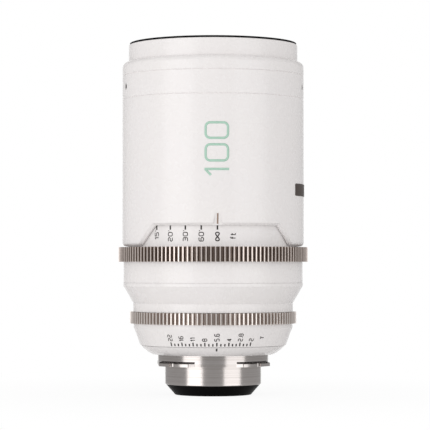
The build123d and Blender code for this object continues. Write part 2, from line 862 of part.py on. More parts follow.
def focus_ring():
    """The white focus ring: skirt on the hub, web on the cam barrel, gear seat and spigot."""
    bore = hub_radius + running_gap
    spigot_top = focus_top_z + focus_spigot_length
    body = turned(
        (bore, focus_z),
        (focus_ring_radius, focus_z),
        (focus_ring_radius, focus_gear_z),
        (focus_gear_seat, focus_gear_z),
        (focus_gear_seat, focus_top_z),
        (focus_spigot_radius, focus_top_z),
        (focus_spigot_radius, spigot_top),
        (focus_spigot_radius - focus_spigot_wall, spigot_top),
        (focus_spigot_radius - focus_spigot_wall, focus_top_z),
        (cam_barrel_radius + seat_gap, focus_top_z),
        (cam_barrel_radius + seat_gap, web_z),
        (bore, web_z),
    )
    body -= stop_groove(hub_radius, focus_stop_z(), -focus_throw, 0)
    for azimuth in around(drive_screw_count, 0):
        inner = cam_barrel_radius - overrun
        head_floor = drive_screw_head_floor()
        height = drive_screw_z()
        body -= radial_rod(drive_screw_radius + seat_gap, azimuth, inner, focus_gear_seat, height)
        head = drive_screw_head_radius + seat_gap
        body -= radial_rod(head, azimuth, head_floor, focus_gear_seat + overrun, height)
    return body


def drive_screw_z():
    """The height of the drive screws, in the middle of the focus ring's gear seat."""
    return (focus_gear_z + focus_top_z) / 2


def drive_screw_head_floor():
    """How far from the lens axis the drive screws' heads rest."""
    return focus_gear_seat - drive_screw_head_length - drive_screw_sink


def focus_drive_screws():
    """The screws that lock the focus ring to the cam barrel, under the gear."""
    screws = []
    tip = barrel_radius + running_gap + drive_screw_tip_margin
    for azimuth in around(drive_screw_count, 0):
        head_floor = drive_screw_head_floor()
        head_top = head_floor + drive_screw_head_length
        screw = radial_rod(drive_screw_radius, azimuth, tip, head_floor, drive_screw_z())
        screw += radial_rod(drive_screw_head_radius, azimuth, head_floor, head_top, drive_screw_z())
        screws.append(screw)
    return screws


def focus_gear():
    """The taupe gear on the focus ring."""
    return gear_ring(
        focus_gear_teeth, focus_gear_turn_share, focus_gear_seat + seat_gap, focus_gear_z, focus_gear_face
    )


def focus_scale_ring():
    """The white sleeve with the distance scale, turning inside the housing's windows."""
    top = focus_top_z + scale_ring_length
    return ring(focus_spigot_radius + seat_gap, scale_ring_radius, focus_top_z, top)


def cam_slot_cutters(azimuth):
    """The helical channel and its two round ends, for one follower's outer roller."""
    half = cam_roller_radius + running_gap
    inner = barrel_radius - overrun
    outer = cam_barrel_radius + overrun
    middle = (inner + outer) / 2
    helix = Helix(focus_lead_length, focus_travel, middle, lefthand=True)
    section = Plane(origin=helix @ 0, x_dir=(1, 0, 0), z_dir=helix % 0) * Rectangle(outer - inner, 2 * half)
    cutters = [spun(azimuth) * Pos(0, 0, follower_z) * sweep(section, path=helix, is_frenet=True)]
    for share in (0, 1):
        height = follower_z + share * focus_travel
        cutters.append(radial_rod(half, azimuth - share * focus_throw, inner, outer, height))
    return cutters


def cam_barrel():
    """The barrel that the focus ring turns on the chassis barrel, with its helical slots."""
    body = ring(barrel_radius + running_gap, cam_barrel_radius, cam_barrel_z, cam_barrel_top_z)
    for azimuth in around(follower_count, follower_azimuth):
        for cutter in cam_slot_cutters(azimuth):
            body -= cutter
    for azimuth in around(drive_screw_count, 0):
        hole = drive_screw_radius + seat_gap
        inner = barrel_radius - overrun
        body -= radial_rod(hole, azimuth, inner, cam_barrel_radius + overrun, drive_screw_z())
    return body


def thrust_washer(low):
    """A plain ring that takes the cam barrel's thrust."""
    inner = barrel_radius + washer_margin
    return ring(inner, cam_barrel_radius - washer_margin, low, low + washer_thickness)


# Focus cell


def focus_cell():
    """The tube that slides in the chassis barrel with the focus group."""
    outer = barrel_bore_radius - running_gap
    body = turned(
        (cell_bore_radius - cell_lip, cell_z),
        (outer, cell_z),
        (outer, cell_top_z),
        (cell_bore_radius, cell_top_z),
        (cell_bore_radius, cell_rear_glass_z),
        (cell_bore_radius - cell_lip, cell_rear_glass_z),
    )
    for azimuth in around(follower_count, follower_azimuth):
        hole = follower_pin_radius + seat_gap
        body -= radial_rod(hole, azimuth, cell_bore_radius - overrun, outer + overrun, follower_z)
    return body


def follower_pins():
    """The headed pins that stand out of the focus cell through both slots."""
    pins = []
    head = cam_barrel_radius + 2 * face_gap
    for azimuth in around(follower_count, follower_azimuth):
        pin = radial_rod(follower_pin_radius, azimuth, cell_bore_radius + seat_gap, head, follower_z)
        pin += radial_rod(follower_head_radius, azimuth, head, head + follower_head_length, follower_z)
        pins.append(pin)
    return pins


def follower_rollers():
    """Two rollers on each follower pin: one in the guide slot and one in the cam slot."""
    rollers = []
    bore = follower_pin_radius + seat_gap
    for azimuth in around(follower_count, follower_azimuth):
        for radius, inner, outer in (
            (guide_roller_radius, barrel_bore_radius, barrel_radius - face_gap),
            (cam_roller_radius, barrel_radius + face_gap, cam_barrel_radius + face_gap),
        ):
            roller = radial_rod(radius, azimuth, inner, outer, follower_z)
            roller -= radial_rod(bore, azimuth, inner - overrun, outer + overrun, follower_z)
            rollers.append(roller)
    return rollers


def retainer(bore, low):
    """A threaded ring that holds a stack of glass down in its cell."""
    return ring(bore - glass_rim, bore - seat_gap, low, low + retainer_length)


def spacer(bore, low, high):
    """A thin tube between the rims of two elements."""
    return ring(bore - spacer_wall, bore - seat_gap, low, high)


def focus_glass_radius():
    """The radius of the focus group's elements."""
    return cell_bore_radius - seat_gap


def focus_front_element():
    """The focus group's front element, a strong convex lens."""
    radius = focus_glass_radius()
    return element(radius, cell_front_glass_z, cell_retainer_z, focus_low_bulge, focus_high_bulge)


def focus_rear_element():
    """The focus group's rear element, hollow towards the iris."""
    return element(focus_glass_radius(), cell_rear_glass_z, cell_spacer_z, -focus_low_bulge, focus_low_bulge)


# Rear cell


def rear_cell():
    """The tube of the rear group, clamped by its flange between the mount and the chassis barrel."""
    flange_top = rear_cell_flange_z()
    return turned(
        (rear_cell_bore_radius, rear_cell_z),
        (rear_cell_radius, rear_cell_z),
        (rear_cell_radius, mount_neck_length),
        (rear_cell_flange_radius, mount_neck_length),
        (rear_cell_flange_radius, flange_top),
        (rear_cell_radius, flange_top),
        (rear_cell_radius, rear_cell_top_z),
        (rear_cell_bore_radius - rear_cell_lip, rear_cell_top_z),
        (rear_cell_bore_radius - rear_cell_lip, rear_inner_top_z),
        (rear_cell_bore_radius, rear_inner_top_z),
    )


def rear_element(top, edge, low_bulge, high_bulge):
    """One element of the rear group."""
    return element(rear_cell_bore_radius - seat_gap, top - edge, top, low_bulge, high_bulge)


def rear_spacers():
    """The thin tubes between the rear group's elements."""
    spacers = []
    for top, edge in ((rear_inner_top_z, rear_inner_edge), (rear_middle_top_z, rear_middle_edge)):
        high = top - edge
        spacers.append(spacer(rear_cell_bore_radius, high - rear_spacer_length, high))
    return spacers


# Front cell


def front_cell():
    """The tube of the front group, bolted by its flange through the housing's lip to the chassis barrel."""
    flange = housing_bore_radius - seat_gap
    flange_top = lip_top_z + front_cell_flange_length
    body = turned(
        (front_cell_bore_radius, lip_top_z),
        (flange, lip_top_z),
        (flange, flange_top),
        (front_cell_radius, flange_top),
        (front_cell_radius, front_cell_top_z),
        (front_cell_bore_radius, front_cell_top_z),
        (front_cell_bore_radius, third_glass_z),
        (front_cell_bore_radius - front_cell_lip, third_glass_z),
        (front_cell_bore_radius - front_cell_lip, front_cell_lip_z),
        (front_cell_bore_radius, front_cell_lip_z),
    )
    return drilled_for_housing_screws(body, lip_top_z, flange_top)


def drilled_for_housing_screws(body, low, high):
    """A piece with the through holes of the housing screws."""
    for azimuth in around(housing_screw_count, 180 / housing_screw_count):
        hole = housing_screw_radius + seat_gap
        body -= upright_rod(hole, housing_screw_circle_radius, azimuth, low - overrun, high + overrun)
    return body


def housing_screws():
    """The screws that clamp the front cell, the housing's lip and the chassis barrel together."""
    screws = []
    circle = housing_screw_circle_radius
    head_low = lip_top_z + front_cell_flange_length
    head_top = head_low + housing_screw_head_length
    tip = flange_top_z - housing_screw_bite
    for azimuth in around(housing_screw_count, 180 / housing_screw_count):
        screw = upright_rod(housing_screw_radius, circle, azimuth, tip, head_low)
        screw += upright_rod(housing_screw_head_radius, circle, azimuth, head_low, head_top)
        screws.append(screw)
    return screws


def front_glass_radius():
    """The radius of the front group's elements."""
    return front_cell_bore_radius - seat_gap


def front_element():
    """The big front element."""
    return element(front_glass_radius(), front_glass_z, front_glass_top_z, front_low_bulge, front_high_bulge)


def front_cylinder_element():
    """The front cylindrical element, hollow towards the front."""
    top = second_glass_z + cylinder_edge
    return cylindrical_element(front_glass_radius(), second_glass_z, top, cylinder_bulge, True)


def rear_cylinder_element():
    """The rear cylindrical element, raised towards the front."""
    top = third_glass_z + cylinder_edge
    return cylindrical_element(front_glass_radius(), third_glass_z, top, cylinder_bulge, False)


def front_spacers():
    """The tubes between the front group's elements."""
    return [
        spacer(front_cell_bore_radius, third_glass_z + cylinder_edge, second_glass_z),
        spacer(front_cell_bore_radius, second_glass_z + cylinder_edge, front_glass_z),
    ]


# Front housing and the rings before it


def window_side(side):
    """All that lies on the window's side of one slanting wall."""
    low = housing_z - overrun
    top = housing_z + window_height
    far = 2 * housing_radius
    half_slant = math.radians((window_low_angle - window_top_angle) / 2)
    reach = housing_radius * math.sin(half_slant)
    low_reach = reach * (1 + 2 * overrun / window_height)
    outline = Polyline((low_reach, low), (-reach, top), (-far, top), (-far, low), close=True)
    block = extrude(Plane.YZ * make_face(outline), far, both=True)
    if side < 0:
        block = mirror(block, Plane.XZ)
    return spun(side * (window_low_angle + window_top_angle) / 2) * block


def window_cutter():
    """The trapezoid window, open at the housing's lower edge, with flat walls and rounded corners."""
    top = housing_z + window_height
    cutter = ring(housing_bore_radius - overrun, housing_radius + overrun, housing_z - overrun, top)
    cutter = cutter & window_side(1) & window_side(-1)
    near = seat_gap / 2
    sides = cutter.edges().filter_by(GeomType.LINE)
    return fillet(sides.filter_by(lambda edge: abs(edge.center().Z - top) < near), window_corner)


def index_ramp():
    """The sloping facet that brings the distance index down to the scale."""
    edge_z = housing_z + window_height
    faces = []
    for height in (edge_z - overrun, edge_z + index_ramp_length):
        share = (edge_z + index_ramp_length - height) / index_ramp_length
        width = index_ramp_top_width + share * (index_ramp_low_width - index_ramp_top_width)
        depth = share * window_bevel
        face = Rectangle(depth + overrun, width, align=(Align.MIN, Align.CENTER))
        faces.append(Pos(housing_radius - depth, 0, height) * face)
    return spun(0) * loft(faces, ruled=True)


def front_housing():
    """The long white housing with its window over the distance scale."""
    bore = housing_bore_radius
    body = turned(
        (bore, housing_z),
        (housing_radius, housing_z),
        (housing_radius, clamp_z - groove_chamfer),
        (housing_radius - groove_chamfer, clamp_z),
        (bore, clamp_z),
        (bore, lip_top_z),
        (housing_lip_radius, lip_top_z),
        (housing_lip_radius, flange_top_z),
        (bore, flange_top_z),
    )
    body = fillet(circles_at(body, housing_radius, housing_z), housing_corner)
    body -= window_cutter()
    body = chamfer(window_rim(body), window_bevel)
    body -= index_ramp()
    return drilled_for_housing_screws(body, flange_top_z, lip_top_z)


def window_rim(body):
    """The outer edges of the window."""
    near = seat_gap / 2
    low = housing_z + housing_corner
    high = housing_z + window_height

    def on_rim(edge):
        places = [edge @ share for share in (0, 1 / 2, 1)]
        outside = all(abs(math.hypot(place.X, place.Y) - housing_radius) < near for place in places)
        return outside and low + near < places[1].Z < high + near

    return body.edges().filter_by(on_rim)


def clamp_ring():
    """The white ring over the front cell, with its spigot in the housing and its screw holes."""
    bore = front_cell_radius + seat_gap
    spigot = housing_bore_radius - seat_gap
    body = turned(
        (bore, clamp_z - clamp_spigot_length),
        (spigot, clamp_z - clamp_spigot_length),
        (spigot, clamp_z),
        (housing_radius - groove_chamfer, clamp_z),
        (housing_radius, clamp_z + groove_chamfer),
        (housing_radius, shoulder_z - groove_chamfer),
        (housing_radius - groove_chamfer, shoulder_z),
        (bore, shoulder_z),
    )
    for azimuth in clamp_screw_azimuths:
        hole = clamp_screw_radius + seat_gap
        height = clamp_z + clamp_screw_height
        body -= radial_rod(hole, azimuth, front_cell_radius - overrun, housing_radius + overrun, height)
    return body


def clamp_screws():
    """The set screws that grip the front cell, sunk in the clamp ring."""
    screws = []
    tip = front_cell_radius + seat_gap
    for azimuth in clamp_screw_azimuths:
        height = clamp_z + clamp_screw_height
        screws.append(radial_rod(clamp_screw_radius, azimuth, tip, tip + clamp_screw_length, height))
    return screws


def shoulder_ring():
    """The white ring with the rounded shoulder."""
    bore = front_cell_radius + seat_gap
    body = turned(
        (bore, shoulder_z),
        (housing_radius - groove_chamfer, shoulder_z),
        (housing_radius, shoulder_z + groove_chamfer),
        (housing_radius, front_ring_z),
        (bore, front_ring_z),
    )
    return fillet(circles_at(body, housing_radius, front_ring_z), shoulder_corner)


def front_ring():
    """The white front ring that a matte box clamps on."""
    bore = front_cell_radius + seat_gap
    return turned(
        (bore, front_ring_z),
        (front_ring_radius, front_ring_z),
        (front_ring_radius, front_top_z - front_ring_chamfer),
        (front_ring_radius - front_ring_chamfer, front_top_z),
        (bore, front_top_z),
    )


def filter_ring():
    """The black front ring with the filter's bore."""
    top = front_top_z + rim_projection
    return turned(
        (filter_bore_radius, front_cell_top_z),
        (front_cell_radius, front_cell_top_z),
        (front_cell_radius, front_top_z),
        (rim_radius, front_top_z),
        (rim_radius, top),
        (filter_bore_radius, top),
    )


pieces = {
    "bayonet_mount": bayonet_mount(),
    "mount_shims": mount_shims(),
    "mount_screws": mount_screws(),
    "rear_baffle": rear_baffle(),
    "rear_ring": rear_ring(),
    "rear_cell": rear_cell(),
    "rear_inner_element": rear_element(rear_inner_top_z, rear_inner_edge, rear_bulge, -rear_bulge),
    "rear_middle_element": rear_element(rear_middle_top_z, rear_middle_edge, -rear_bulge, rear_bulge),
    "rear_outer_element": rear_element(rear_outer_top_z, rear_outer_edge, rear_bulge, rear_bulge),
    "rear_spacers": rear_spacers(),
    "rear_retainer": retainer(rear_cell_bore_radius, rear_retainer_z),
    "main_barrel": main_barrel(),
    "iris_base": iris_base(),
    "iris_cam_ring": iris_cam_ring(),
    "iris_retainer": iris_retainer(),
    "iris_drive_pin": iris_drive_pin(),
    "iris_ring": iris_ring(),
    "iris_gear": iris_gear(),
    "middle_barrel": middle_barrel(),
    "stop_screws": stop_screws(),
    "focus_ring": focus_ring(),
    "focus_gear": focus_gear(),
    "focus_scale_ring": focus_scale_ring(),
    "focus_drive_screws": focus_drive_screws(),
    "cam_barrel": cam_barrel(),
    "rear_thrust_washer": thrust_washer(washer_z),
    "front_thrust_washer": thrust_washer(flange_z - washer_thickness),
    "focus_cell": focus_cell(),
    "focus_rear_element": focus_rear_element(),
    "focus_front_element": focus_front_element(),
    "focus_spacer": spacer(cell_bore_radius, cell_spacer_z, cell_front_glass_z),
    "focus_retainer": retainer(cell_bore_radius, cell_retainer_z),
    "follower_pins": follower_pins(),
    "follower_rollers": follower_rollers(),
    "front_cell": front_cell(),
    "rear_cylinder_element": rear_cylinder_element(),
    "front_cylinder_element": front_cylinder_element(),
    "front_element": front_element(),
    "front_spacers": front_spacers(),
    "front_retainer": retainer(front_cell_bore_radius, front_glass_top_z),
    "front_housing": front_housing(),
    "housing_screws": housing_screws(),
    "clamp_ring": clamp_ring(),
    "clamp_screws": clamp_screws(),
    "shoulder_ring": shoulder_ring(),
    "front_ring": front_ring(),
    "filter_ring": filter_ring(),
}
for number in range(blade_count):
    pieces[f"iris_blade_{number + 1:02d}"] = iris_blade(number)

os.makedirs("parts", exist_ok=True)
for name, piece in pieces.items():
    solids = piece if isinstance(piece, list) else [piece]
    whole = Compound(children=solids) if len(solids) > 1 else solids[0]
    export_step(whole, f"parts/{name}.step")
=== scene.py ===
import math

import bmesh
import bpy
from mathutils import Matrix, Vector
from mathutils.bvhtree import BVHTree


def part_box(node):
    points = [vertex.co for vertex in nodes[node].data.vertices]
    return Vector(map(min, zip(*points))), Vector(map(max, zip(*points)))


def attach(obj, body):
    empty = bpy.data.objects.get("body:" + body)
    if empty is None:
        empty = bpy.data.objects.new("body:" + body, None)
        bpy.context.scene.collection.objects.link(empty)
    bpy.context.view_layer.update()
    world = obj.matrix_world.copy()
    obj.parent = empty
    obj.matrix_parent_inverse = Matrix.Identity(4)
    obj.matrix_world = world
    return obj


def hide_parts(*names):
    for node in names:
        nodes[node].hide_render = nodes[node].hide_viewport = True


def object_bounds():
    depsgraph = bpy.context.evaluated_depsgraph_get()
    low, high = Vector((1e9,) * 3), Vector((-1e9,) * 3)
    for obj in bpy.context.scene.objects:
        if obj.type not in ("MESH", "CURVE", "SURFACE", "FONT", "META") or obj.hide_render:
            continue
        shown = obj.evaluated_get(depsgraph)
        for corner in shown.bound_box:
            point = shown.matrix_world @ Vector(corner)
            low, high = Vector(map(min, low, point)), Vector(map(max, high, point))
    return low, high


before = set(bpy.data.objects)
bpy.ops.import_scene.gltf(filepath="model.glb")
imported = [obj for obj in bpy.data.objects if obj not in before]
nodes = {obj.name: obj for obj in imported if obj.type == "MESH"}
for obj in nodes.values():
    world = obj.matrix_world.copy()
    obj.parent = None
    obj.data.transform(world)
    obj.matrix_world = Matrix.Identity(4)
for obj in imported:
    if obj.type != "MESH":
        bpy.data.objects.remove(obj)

cad_low, cad_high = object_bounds()
MM = 0.001


# Node trees

class Value:
    """One output of a node, used as a number."""

    def __init__(self, bench, socket):
        self.bench = bench
        self.socket = socket

    def __add__(self, other):
        return self.bench.number("ADD", self, other)

    def __radd__(self, other):
        return self.bench.number("ADD", other, self)

    def __sub__(self, other):
        return self.bench.number("SUBTRACT", self, other)

    def __rsub__(self, other):
        return self.bench.number("SUBTRACT", other, self)

    def __mul__(self, other):
        return self.bench.number("MULTIPLY", self, other)

    def __rmul__(self, other):
        return self.bench.number("MULTIPLY", other, self)


class Bench:
    """Adds nodes to one tree."""

    def __init__(self, tree):
        self.tree = tree

    def node(self, kind, settings=(), values=()):
        made = self.tree.nodes.new(kind)
        for name, setting in dict(settings).items():
            setattr(made, name, setting)
        for name, value in dict(values).items():
            self.feed(pick(made.inputs, name), value)
        return made

    def feed(self, socket, value):
        if isinstance(value, Value):
            self.tree.links.new(value.socket, socket)
        else:
            socket.default_value = value

    def take(self, kind, settings=(), values=(), output=0):
        return Value(self, pick(self.node(kind, settings, values).outputs, output))

    def number(self, operation, first, second=0.0):
        return self.take("ShaderNodeMath", {"operation": operation}, {0: first, 1: second})

    def limit(self, value, low, high, curve="LINEAR"):
        """Follows value, as 0 at low and 1 at high."""
        settings = {"clamp": True, "interpolation_type": curve}
        return self.take("ShaderNodeMapRange", settings, {"Value": value, "From Min": low, "From Max": high})

    def smooth(self, value, low, high):
        return self.limit(value, low, high, "SMOOTHSTEP")

    def vector(self, across, along, height):
        return self.take("ShaderNodeCombineXYZ", values={"X": across, "Y": along, "Z": height})

    def part(self, vector, axis):
        return self.take("ShaderNodeSeparateXYZ", values={0: vector}, output=axis)

    def rays(self, *kinds):
        """1 for rays of any of these kinds, and 0 for the others."""
        path = self.node("ShaderNodeLightPath")
        share = 0.0
        for kind in kinds:
            share = self.number("MAXIMUM", share, Value(self, path.outputs[kind]))
        return share

    def blend(self, share, first, second):
        """A colour between two."""
        values = {"Factor_Float": share, "A_Color": first, "B_Color": second}
        return self.take("ShaderNodeMix", {"data_type": "RGBA"}, values, "Result_Color")


def pick(sockets, name):
    """The socket with this number, identifier or name."""
    if isinstance(name, int):
        return sockets[name]
    for socket in sockets:
        if socket.identifier == name:
            return socket
    return sockets[name]


def tone(red, green, blue):
    """A colour from the 0 to 255 values of a picture."""
    return tuple(linear(part / 255) for part in (red, green, blue)) + (1.0,)


def linear(part):
    """The light of one part of a picture's colour, both from 0 to 1."""
    if part <= 0.04045:
        return part / 12.92
    return ((part + 0.055) / 1.055) ** 2.4


# Finishes

WHITE = (1.0, 1.0, 1.0, 1.0)

# Radii and heights on the lens, in millimetres
IRIS_TIP_RADIUS = 46.8
FOCUS_TIP_RADIUS = 53.2
BETWEEN_GEARS = 40
HOUSING_RADIUS = 51.0
PLATE_RISE = 0.28

# Where each painted dark reflection on the mount starts and where it is whole, in millimetres
NECK_HEIGHTS = (0.6, 1.4)
SLOPE_HEIGHTS = (1.62, 1.85)
SLOPE_RADII = (31.05, 31.3)


class Finish(Bench):
    """A material that reads places on the object in millimetres."""

    def __init__(self, name):
        self.material = bpy.data.materials.new(name)
        self.material.use_nodes = True
        super().__init__(self.material.node_tree)
        self.tree.nodes.clear()
        place = self.take("ShaderNodeTexCoord", output="Object")
        self.place = self.take("ShaderNodeVectorMath", {"operation": "SCALE"}, {0: place, "Scale": 1 / MM})
        self.height = self.part(self.place, "Z")

    def radius(self):
        across = self.part(self.place, "X")
        along = self.part(self.place, "Y")
        return self.number("SQRT", across * across + along * along)

    def noise(self, scale, detail, place=None, roughness=0.5):
        """A soft random pattern, scale times to the millimetre."""
        values = {"Vector": place or self.place, "Scale": scale, "Detail": detail, "Roughness": roughness}
        return self.take("ShaderNodeTexNoise", values=values, output="Fac")

    def turned_noise(self, scale, detail):
        """Fine lines round the axis, as a lathe leaves them on sides and faces."""
        return self.noise(scale, detail, self.vector(self.radius(), 0.0, self.height))

    def stretched(self, scales):
        """The place on the object, times a scale of its own each way."""
        return self.take("ShaderNodeVectorMath", {"operation": "MULTIPLY"}, {0: self.place, 1: scales})

    def bump(self, height, distance, strength):
        """The normal over dents whose depth is given in millimetres."""
        values = {"Height": height, "Distance": distance * MM, "Strength": strength}
        return self.take("ShaderNodeBump", values=values)

    def glow(self):
        return self.take("ShaderNodeEmission", values={"Color": WHITE, "Strength": 1.0})

    def clear(self):
        return self.take("ShaderNodeBsdfTransparent")

    def mix(self, share, first, second):
        return self.take("ShaderNodeMixShader", values={0: share, 1: first, 2: second})

    def surface(self, **values):
        """The material with one shader: underscores in the names stand for spaces."""
        named = {name.replace("_", " "): value for name, value in values.items()}
        return self.done(self.take("ShaderNodeBsdfPrincipled", values=named))

    def done(self, shader):
        self.node("ShaderNodeOutputMaterial", values={"Surface": shader})
        return self.material


def white_paint_finish():
    """Satin white paint with a faint orange peel."""
    finish = Finish("satin_white_paint")
    cloud = finish.noise(0.05, 3)
    handled = finish.smooth(finish.noise(0.16, 4), 0.45, 0.7)
    peel = finish.noise(1.3, 2)
    grain = finish.noise(7.0, 2)
    return finish.surface(
        Base_Color=finish.blend(cloud, tone(240, 236, 236), tone(241, 237, 235)),
        Roughness=0.25 + handled * 0.05 + grain * 0.03,
        Specular_IOR_Level=0.58,
        Normal=finish.bump(peel + grain * 0.05, 0.001, 0.3),
    )


def gear_finish():
    """Taupe anodised metal, paler where the tips of the teeth are handled, and darker down in the gaps as
    painted shade.
    """
    finish = Finish("taupe_gear_metal")
    fine = finish.noise(4.0, 3)
    upper_gear = finish.limit(finish.height, BETWEEN_GEARS, BETWEEN_GEARS + 1)
    tip_radius = IRIS_TIP_RADIUS + upper_gear * (FOCUS_TIP_RADIUS - IRIS_TIP_RADIUS)
    # rubbed is 1 at the worn tips of the teeth and 0 in the gaps, whose darker colour is painted shade
    rubbed = finish.smooth(finish.radius() - tip_radius + fine * 0.3, -0.2, 0.15)
    gap_tone_with_painted_shade = finish.blend(upper_gear, tone(196, 183, 175), tone(144, 128, 118))
    tips = finish.blend(upper_gear, tone(250, 242, 237), tone(243, 230, 223))
    return finish.surface(
        Base_Color=finish.blend(rubbed, gap_tone_with_painted_shade, tips),
        Metallic=0.8,
        Roughness=0.32 - rubbed * 0.04 + fine * 0.08,
        Normal=finish.bump(finish.turned_noise(6, 2), 0.003, 0.6),
    )


def turned_metal(name, dull, bright, roughness, line_depth, shade=None):
    """Bare metal with the fine lines of the lathe; shade, where given, changes its colour in places."""
    finish = Finish(name)
    lines = finish.turned_noise(9, 4)
    wide_lines = finish.smooth(finish.turned_noise(1.5, 3), 0.32, 0.68)
    smear = finish.noise(0.35, 4)
    colour = finish.blend(lines * 0.2 + smear * 0.2 + wide_lines * 0.6, dull, bright)
    if shade:
        colour = shade(finish, colour)
    return finish.surface(
        Base_Color=colour,
        Metallic=1.0,
        Roughness=roughness + smear * 0.06 + lines * 0.04,
        Normal=finish.bump(lines + wide_lines, line_depth, 0.8),
    )


def mount_painted_reflection(finish, colour):
    """Painted dark reflection: the mount's neck is a little darker than its barrel, and the sloped faces of
    the lobes are dark.
    """
    # The colour of the painted dark reflection, blended over the neck and the lobes' slopes
    dark = tone(40, 35, 33)
    neck = finish.limit(finish.height, *NECK_HEIGHTS)
    slope = finish.limit(finish.height, *SLOPE_HEIGHTS) * finish.limit(finish.radius(), *SLOPE_RADII)
    return finish.blend(slope * 0.95, finish.blend(neck * 0.08, colour, dark), dark)


def black_finish():
    """Matt black anodising with turned lines under it and a little dust."""
    finish = Finish("matt_black_anodising")
    lines = finish.turned_noise(4, 2)
    dust = finish.smooth(finish.noise(1.1, 5, roughness=0.7), 0.62, 0.8)
    return finish.surface(
        Base_Color=finish.blend(dust * 0.2, tone(10, 9, 9), tone(44, 42, 42)),
        Roughness=0.46 + dust * 0.2 - lines * 0.08,
        Specular_IOR_Level=0.05,
        Normal=finish.bump(lines + finish.noise(14, 2) * 0.5, 0.004, 0.7),
    )


def glass_finish():
    """Clear glass with a thin green and magenta coating and faint specks."""
    finish = Finish("coated_optical_glass")
    specks = finish.smooth(finish.noise(2.2, 4, roughness=0.7), 0.68, 0.8)
    return finish.surface(
        Base_Color=finish.blend(specks * 0.3, tone(250, 252, 251), tone(226, 228, 230)),
        Roughness=0.004 + specks * 0.05,
        IOR=1.62,
        Transmission_Weight=1.0,
        Thin_Film_Thickness=285.0,
        Thin_Film_IOR=1.38,
    )


def blade_finish():
    """Thin blued steel, blackened, rubbed along the blades."""
    finish = Finish("blackened_blade_steel")
    rubbed = finish.smooth(finish.noise(0.5, 4), 0.5, 0.72)
    grain = finish.noise(1.0, 3, finish.stretched((0.4, 6.0, 1.0)))
    return finish.surface(
        Base_Color=finish.blend(rubbed * 0.6, tone(38, 37, 40), tone(88, 88, 93)),
        Metallic=1.0,
        Roughness=0.4 + grain * 0.12,
        Normal=finish.bump(grain, 0.002, 0.6),
    )


def mark_finish(name, ink, worn):
    """Ink in shallow engraving, with specks where it is thin."""
    finish = Finish(name)
    thin = finish.smooth(finish.noise(1.5, 4, roughness=0.65), 0.5, 0.75)
    return finish.surface(
        Base_Color=finish.blend(thin * 0.35, ink, worn),
        Roughness=0.5 + thin * 0.12,
        Normal=finish.bump(finish.noise(6, 2), 0.006, 0.5),
    )


def badge_finish():
    """Dark brown anodised plate, brushed along its length, with rubbed edges."""
    finish = Finish("brown_plate_anodising")
    lines = finish.noise(1.0, 3, finish.stretched((0.15, 0.15, 9.0)))
    top, rubbed = HOUSING_RADIUS + PLATE_RISE, 0.04
    edge = finish.smooth(finish.radius() + lines * 0.06, top - rubbed, top + rubbed)
    return finish.surface(
        Base_Color=finish.blend(lines * 0.4 + edge * 0.2, tone(74, 64, 60), tone(122, 110, 104)),
        Metallic=0.6,
        Roughness=0.38 + lines * 0.12,
        Normal=finish.bump(lines, 0.004, 0.7),
    )


finishes = {
    "white_paint": white_paint_finish(),
    "taupe_anodised": gear_finish(),
    "mount_steel": turned_metal(
        "turned_mount_steel",
        dull=tone(193, 186, 182),
        bright=tone(219, 213, 211),
        roughness=0.13,
        line_depth=0.0025,
        shade=mount_painted_reflection,
    ),
    "screw_steel": turned_metal(
        "screw_steel",
        dull=tone(176, 173, 170),
        bright=tone(196, 193, 190),
        roughness=0.24,
        line_depth=0.003,
    ),
    "dark_screw_steel": turned_metal(
        "blackened_screw_steel",
        dull=tone(58, 56, 56),
        bright=tone(86, 84, 83),
        roughness=0.32,
        line_depth=0.003,
    ),
    "black_anodised": black_finish(),
    "plain_aluminium": turned_metal(
        "plain_aluminium",
        dull=tone(190, 191, 193),
        bright=tone(212, 213, 214),
        roughness=0.3,
        line_depth=0.004,
    ),
    "bronze": turned_metal(
        "bearing_bronze",
        dull=tone(166, 122, 76),
        bright=tone(196, 150, 98),
        roughness=0.3,
        line_depth=0.003,
    ),
    "coated_glass": glass_finish(),
    "blade_steel": blade_finish(),
}
dark_ink = mark_finish("dark_ink", tone(46, 39, 36), tone(72, 63, 59))
taupe_ink = mark_finish("taupe_ink", tone(150, 126, 112), tone(176, 156, 144))
mint_ink = mark_finish("mint_ink", tone(176, 212, 193), tone(192, 220, 205))
badge_brown = badge_finish()

for node in nodes.values():
    for holder in node.material_slots:
        holder.material = finishes[holder.material.name]


# Making pieces

# Angles in degrees from which an edge stays sharp, and a distance in metres that closes a seam
BAND_EDGE = 30
SCREW_EDGE = 35
SEAM = 1e-6

# Points round a ring or a turn of thread
RING_POINTS = 128


def outwards(azimuth):
    """The level way out from the axis, azimuth in degrees from the index."""
    turn = math.radians(azimuth - 90)
    return Vector((math.cos(turn), math.sin(turn), 0))


def new_object(name, data):
    thing = bpy.data.objects.new(name, data)
    bpy.context.scene.collection.objects.link(thing)
    return thing


def new_piece(name, mesh, body):
    """A finished piece that rides on a body."""
    piece = new_object(name, mesh)
    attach(piece, body)
    return piece


def mesh_of(name, points, faces, material):
    mesh = bpy.data.meshes.new(name)
    mesh.from_pydata(points, [], faces)
    mesh.materials.append(material)
    tidy_mesh(mesh)
    return mesh


def tidy_mesh(mesh):
    """Closes the seams of a mesh and turns its faces outwards."""
    shell = bmesh.new()
    shell.from_mesh(mesh)
    bmesh.ops.remove_doubles(shell, verts=shell.verts, dist=SEAM)
    bmesh.ops.recalc_face_normals(shell, faces=shell.faces)
    shell.to_mesh(mesh)
    shell.free()


def smooth_mesh(mesh, angle):
    mesh.shade_smooth()
    mesh.set_sharp_from_angle(angle=math.radians(angle))


def evaluated_mesh(thing):
    """The mesh of an object or a curve with its modifiers."""
    bpy.context.view_layer.update()
    graph = bpy.context.evaluated_depsgraph_get()
    return bpy.data.meshes.new_from_object(thing.evaluated_get(graph))


